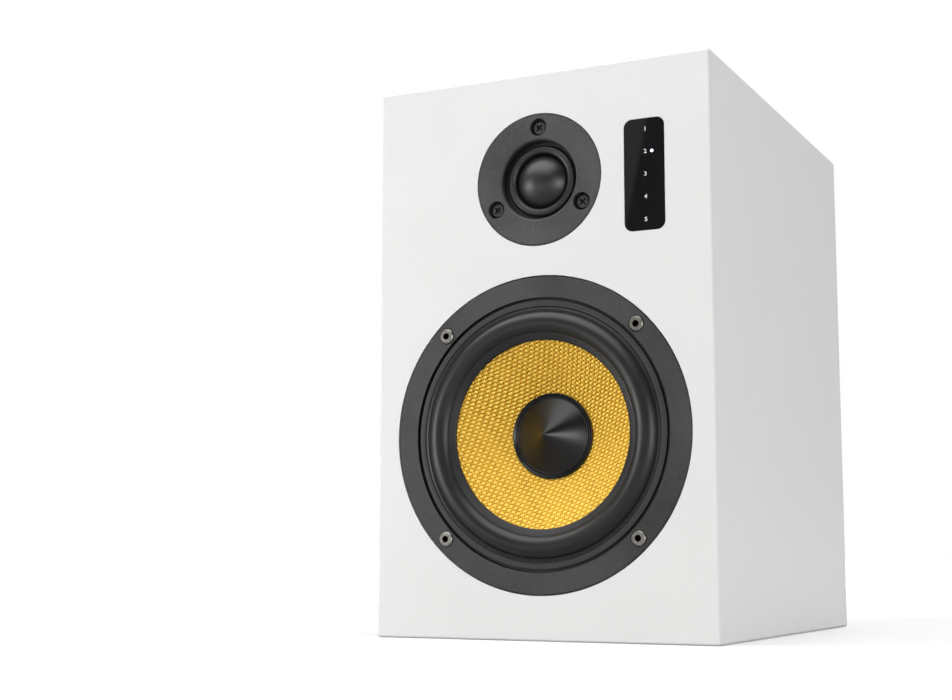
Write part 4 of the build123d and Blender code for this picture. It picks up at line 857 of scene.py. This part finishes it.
def silk_dome():
    """A thin cap of a ball."""
    rise = dome_foot - dome_top
    ball = (dome_radius**2 + rise**2) / (2 * rise)
    half = np.arcsin(dome_radius / ball)
    outer = [(ball * sin(a), dome_top + ball * (1 - cos(a))) for a in np.linspace(0, half, 40)]
    inner = [(r * (1 - SILK / dome_radius), d + SILK * (dome_foot - d) / rise) for r, d in reversed(outer)]
    dome = turned("silk_dome", outer + inner, tweeter_z, dome_black, 192, 60)
    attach(dome, "tweeter_moving")
    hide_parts("tweeter_dome")


def dome_fold():
    """The rounded fold round the dome."""
    rim = radii("tweeter_surround", tweeter_z)[1]
    inner, outer = dome_radius + FOLD_GAP, FOLD_OUTER
    ridge = (inner + outer) / 2
    face = dome_foot - FOLD_SINK
    rim_back = face + FOLD_RIM
    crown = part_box("tweeter_surround")[0].y - front - FOLD_RISE
    section = [
        *arc((inner, dome_foot - SILK), (ridge, crown), (outer, face), 24),
        (rim, face),
        (rim, rim_back),
        *arc((outer - SILK, rim_back), (ridge, crown + SILK), (inner + SILK, dome_foot), 20),
        (inner, dome_foot),
    ]
    fold = turned("dome_fold", section, tweeter_z, fold_black, 192, 60)
    stretch_between(fold)
    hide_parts("tweeter_surround")


def lettering(name, text, place, height, material, rear=False):
    """Plain numerals or signs printed on a face that looks forwards, or backwards on the rear plate."""
    curve = bpy.data.curves.new(name, "FONT")
    curve.body = text
    curve.size = height / LETTER_HEIGHT
    curve.align_x = "CENTER"
    curve.align_y = "CENTER"
    curve.extrude = LETTER_RISE
    curve.offset = LETTER_SPREAD * height
    mesh = mesh_of(curve)
    mesh.transform(Matrix.Rotation(pi / 2, 4, "X"))
    if rear:
        mesh.transform(Matrix.Rotation(pi, 4, "Z"))
    mesh.transform(Matrix.Translation(place))
    mesh.materials.clear()
    piece = placed(name, mesh, material)
    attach(piece, "cabinet")


def window_marks():
    """Five numbered inputs on the window, with the second one's lamp lit."""
    centre = middle("display_window")
    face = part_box("display_window")[0].y
    for row in range(INPUT_COUNT):
        label = str(row + 1)
        place = (centre.x + NUMERAL_SHIFT, face, centre.z + (2 - row) * INPUT_PITCH)
        lettering("numeral_" + label, label, place, NUMERAL_HEIGHT, print_white)
    swell = LAMP_RISE + LAMP_SINK
    rings = [(LAMP_DOT * sin(a), LAMP_SINK - swell * cos(a)) for a in np.linspace(0.2, pi / 2, 6)]
    section = [(0, -LAMP_RISE), *rings, (0, LAMP_SINK)]
    dot = turned("lit_lamp", section, centre.z + INPUT_PITCH, lamp_glow, 48)
    dot.data.transform(Matrix.Translation((centre.x + LAMP_SHIFT, 0, 0)))
    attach(dot, "cabinet")


def rear_marks():
    """Plain numerals and signs beside the sockets, and ticks over the volume knob."""
    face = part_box("amp_panel")[1].y
    for name, text, x, z, height in REAR_MARKS:
        lettering("rear_" + name, text, (x * MM, face, z * MM), height * MM, print_grey, True)
    knob = middle("volume_knob")
    vertices, faces = [], []
    for angle in np.radians(np.linspace(*TICK_SPAN, TICK_COUNT)):
        along, across = Vector((cos(angle), 0, sin(angle))), Vector((-sin(angle), 0, cos(angle)))
        first = len(vertices)
        for y in (face - TICK_RISE, face + TICK_RISE):
            for reach, side in ((0, -1), (1, -1), (1, 1), (0, 1)):
                place = along * (TICK_RADIUS + reach * TICK_LENGTH) + across * side * TICK_WIDTH / 2
                vertices.append((knob.x + place.x, y, knob.z + place.z))
        faces += [[first + k for k in (0, 1, 2, 3)], [first + k for k in (4, 5, 6, 7)]]
        faces += [[first + k, first + (k + 1) % 4, first + 4 + (k + 1) % 4, first + 4 + k] for k in range(4)]
    ticks = piece_from("rear_ticks", vertices, faces, print_grey)
    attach(ticks, "cabinet")


def pad_points(low, high, wall_x, side):
    """Two layers of points: one flat on the wall, and one crowned and lumpy."""
    points = []
    for layer in (0, 1):
        for j in range(PAD_ROWS + 1):
            for i in range(PAD_COLUMNS + 1):
                u, v = i / PAD_COLUMNS, j / PAD_ROWS
                edge = min(1, 9 * min(u, 1 - u, v, 1 - v))
                y = low.y + (high.y - low.y) * u
                z = low.z + (high.z - low.z) * v
                lump = noise.noise(Vector((PAD_LUMPS * y, PAD_LUMPS * z, side)))
                plump = PAD_THICKNESS * (0.25 + 0.55 * edge**0.5 + 0.14 * lump * edge)
                points.append((wall_x - side * plump * layer, y, z))
    return points


def pad_faces():
    """Quads of both layers of a pad and of the band round their edges."""
    width = PAD_COLUMNS + 1
    layer_size = width * (PAD_ROWS + 1)
    faces = []
    for j in range(PAD_ROWS):
        for i in range(PAD_COLUMNS):
            a = j * width + i
            faces.append((a, a + 1, a + width + 1, a + width))
            faces.append(tuple(layer_size + k for k in (a, a + width, a + width + 1, a + 1)))
    outline = [j * width for j in range(PAD_ROWS)] + [PAD_ROWS * width + i for i in range(PAD_COLUMNS)]
    outline += [j * width + PAD_COLUMNS for j in range(PAD_ROWS, 0, -1)] + list(range(PAD_COLUMNS, 0, -1))
    for a, b in zip(outline, outline[1:] + outline[:1]):
        faces.append((a, b, layer_size + b, layer_size + a))
    return faces


def wadding():
    """Soft lining: crowned, lumpy pads against both side walls."""
    low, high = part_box("side_wadding")
    for side, label in ((-1, "left"), (1, "right")):
        vertices = pad_points(low, high, high.x if side > 0 else low.x, side)
        pad = piece_from("wadding_" + label, vertices, pad_faces(), wadding_white, 70)
        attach(pad, "cabinet")
        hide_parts("side_wadding")


trim_ring()
surround()
surround_lip()
cone_weave()
cone_backing()
dust_cap()
spider()
tinsel_leads()
silk_dome()
dome_fold()
window_marks()
rear_marks()
wadding()


# Studio: floor, light and camera
def seen_directly(finish):
    """1 for rays from the camera and for what mirrors and glass show, 0 for stray light."""
    path = finish.add("LightPath")
    total = path.outputs["Is Camera Ray"]
    for kind in ("Is Glossy Ray", "Is Transmission Ray"):
        total = finish.combine("MAXIMUM", total, path.outputs[kind])
    return total


def studio_floor():
    """Pale floor that stays near white to the eye and keeps the shadow of the object."""
    mesh = bpy.data.meshes.new("floor")
    corners = [(-1, -1), (1, -1), (1, 1), (-1, 1)]
    mesh.from_pydata([(x * FLOOR_REACH, y * FLOOR_REACH, 0) for x, y in corners], [], [(0, 1, 2, 3)])
    finish = Finish(
        "floor_pale", Roughness=0.9, Specular_IOR_Level=0.1, Sheen_Roughness=0.3, Emission_Color=WHITE
    )
    seen = seen_directly(finish)
    bounce = finish.spread(finish.grain(FLOOR_PATCH), low=FLOOR_BOUNCE, high=FLOOR_BOUNCE + FLOOR_MOTTLE)
    finish.drive("Base Color", finish.spread(seen, low=bounce, high=FLOOR_SEEN))
    away = finish.add("VectorMath", {"operation": "LENGTH"}, Vector=finish.place).outputs["Value"]
    finish.drive("Sheen Weight", finish.spread(away, FLOOR_NAP_SPAN, 1.0, 0.0))
    glow = finish.spread(away, FLOOR_GLOW_SPAN, FLOOR_GLOW_NEAR, FLOOR_GLOW_FAR)
    finish.drive("Emission Strength", finish.spread(seen, high=glow))
    floor = placed("floor", mesh, finish.material)


class Surroundings(Finish):
    """The world's node tree, built with the same tools."""

    def __init__(self):
        world = bpy.data.worlds.new("studio")
        bpy.context.scene.world = world
        world.use_nodes = True
        self.nodes = world.node_tree.nodes
        self.links = world.node_tree.links
        self.shader = self.nodes["Background"]
        self.shader.inputs["Color"].default_value = WHITE
        self.place = self.nodes.new("ShaderNodeTexCoord").outputs["Generated"]


def studio_world():
    """White to the camera; to mirrors and stray light, pale behind the object and dim in front."""
    room = Surroundings()
    axis = room.add("SeparateXYZ", Vector=room.place).outputs["Y"]
    stray = room.spread(axis, WORLD_STRAY_SPAN, WORLD_FRONT, WORLD_SIDE, "SMOOTHSTEP")
    mirrored = room.spread(axis, WORLD_SEEN_SPAN, WORLD_SEEN_FRONT, 1.0, "SMOOTHSTEP")
    level = room.spread(seen_directly(room), low=stray, high=mirrored)
    camera = room.add("LightPath").outputs["Is Camera Ray"]
    room.drive("Strength", room.spread(camera, low=level))


def around(azimuth, elevation, distance):
    """A place seen from the tweeter: degrees to the right of straight ahead and upwards, and metres."""
    turn, rise = radians(azimuth), radians(elevation)
    away = Vector((sin(turn) * cos(rise), -cos(turn) * cos(rise), sin(rise)))
    return Vector((0, front, tweeter_z)) + distance * away


def softbox(name, place, target, size, power, diffuse=True, glossy=True):
    """A rectangular soft light that faces a target, for matt surfaces, shiny ones or both."""
    light = bpy.data.lights.new(name, "AREA")
    light.shape = "RECTANGLE"
    light.size, light.size_y = size
    light.energy = power
    lamp = bpy.data.objects.new(name, light)
    turn = (Vector(target) - Vector(place)).to_track_quat("-Z", "Y").to_matrix().to_4x4()
    lamp.matrix_world = Matrix.Translation(place) @ turn
    lamp.visible_camera = False
    lamp.visible_diffuse = diffuse
    lamp.visible_glossy = glossy
    bpy.context.scene.collection.objects.link(lamp)


def studio_lamps():
    """Key from above the listener's left, its shine, and low fills at the front, rear and sides."""
    target = (0, front, middle("front_baffle").z)
    softbox("key", around(*KEY_AT), target, KEY_SIZE, KEY_POWER)
    softbox("key_shine", around(*KEY_SHINE_AT), target, KEY_SIZE, KEY_SHINE, diffuse=False)
    softbox("front_fill", around(*FRONT_AT), target, FRONT_SIZE, FRONT_POWER, glossy=False)
    rear_target = (0, back, middle("rear_panel").z)
    rear_place = (0, back + REAR_DISTANCE, REAR_HEIGHT)
    softbox("rear_fill", rear_place, rear_target, REAR_SIZE, REAR_POWER, glossy=False)
    softbox("left_fill", around(*LEFT_AT), target, LEFT_SIZE, LEFT_POWER)
    softbox("right_fill", around(*RIGHT_AT), target, RIGHT_SIZE, RIGHT_POWER)


def reflection_card():
    """A dim screen beside the camera, whose slanting edge shows in the window."""
    mesh = bpy.data.meshes.new("card")
    (x0, z0), (x1, z1) = CARD_EDGE
    lean = (x1 - x0) / (z1 - z0)
    edge = [(x0 + lean * (z - z0), z) for z in (CARD_FOOT, CARD_TOP)]
    corners = [*edge, (CARD_FAR, CARD_TOP), (CARD_FAR, CARD_FOOT)]
    mesh.from_pydata([(x, CARD_Y, z) for x, z in corners], [], [(0, 1, 2, 3)])
    finish = Finish(
        "card_grey", Roughness=1.0, Specular_IOR_Level=0.0, Emission_Color=WHITE, Emission_Strength=CARD_LEVEL
    )
    finish.colours(finish.grain(CARD_PATCH), (0.01, 0.01, 0.01, 1), (0.012, 0.012, 0.012, 1))
    card = placed("card", mesh, finish.material)
    card.visible_camera = False
    card.visible_diffuse = False
    card.visible_shadow = False


def photo_camera():
    """The photograph's camera: place, aim and lens."""
    yaw, pitch, roll = radians(CAMERA_YAW), radians(CAMERA_PITCH), radians(CAMERA_ROLL)
    forward = Vector((-sin(yaw) * cos(pitch), cos(yaw) * cos(pitch), sin(pitch)))
    level = Vector((cos(yaw), sin(yaw), 0))
    upright = level.cross(forward)
    right = level * cos(roll) + upright * sin(roll)
    up = right.cross(forward)
    data = bpy.data.cameras.new("photo_camera")
    data.lens = CAMERA_LENS
    data.sensor_width = CAMERA_SENSOR
    data.clip_start = CAMERA_CLIP
    camera = bpy.data.objects.new("photo_camera", data)
    camera.matrix_world = Matrix.Translation(CAMERA_AT) @ Matrix((right, up, -forward)).transposed().to_4x4()
    bpy.context.scene.collection.objects.link(camera)
    bpy.context.scene.camera = camera


studio_floor()
studio_world()
studio_lamps()
reflection_card()
photo_camera()
bpy.context.scene.view_settings.view_transform = "Standard"
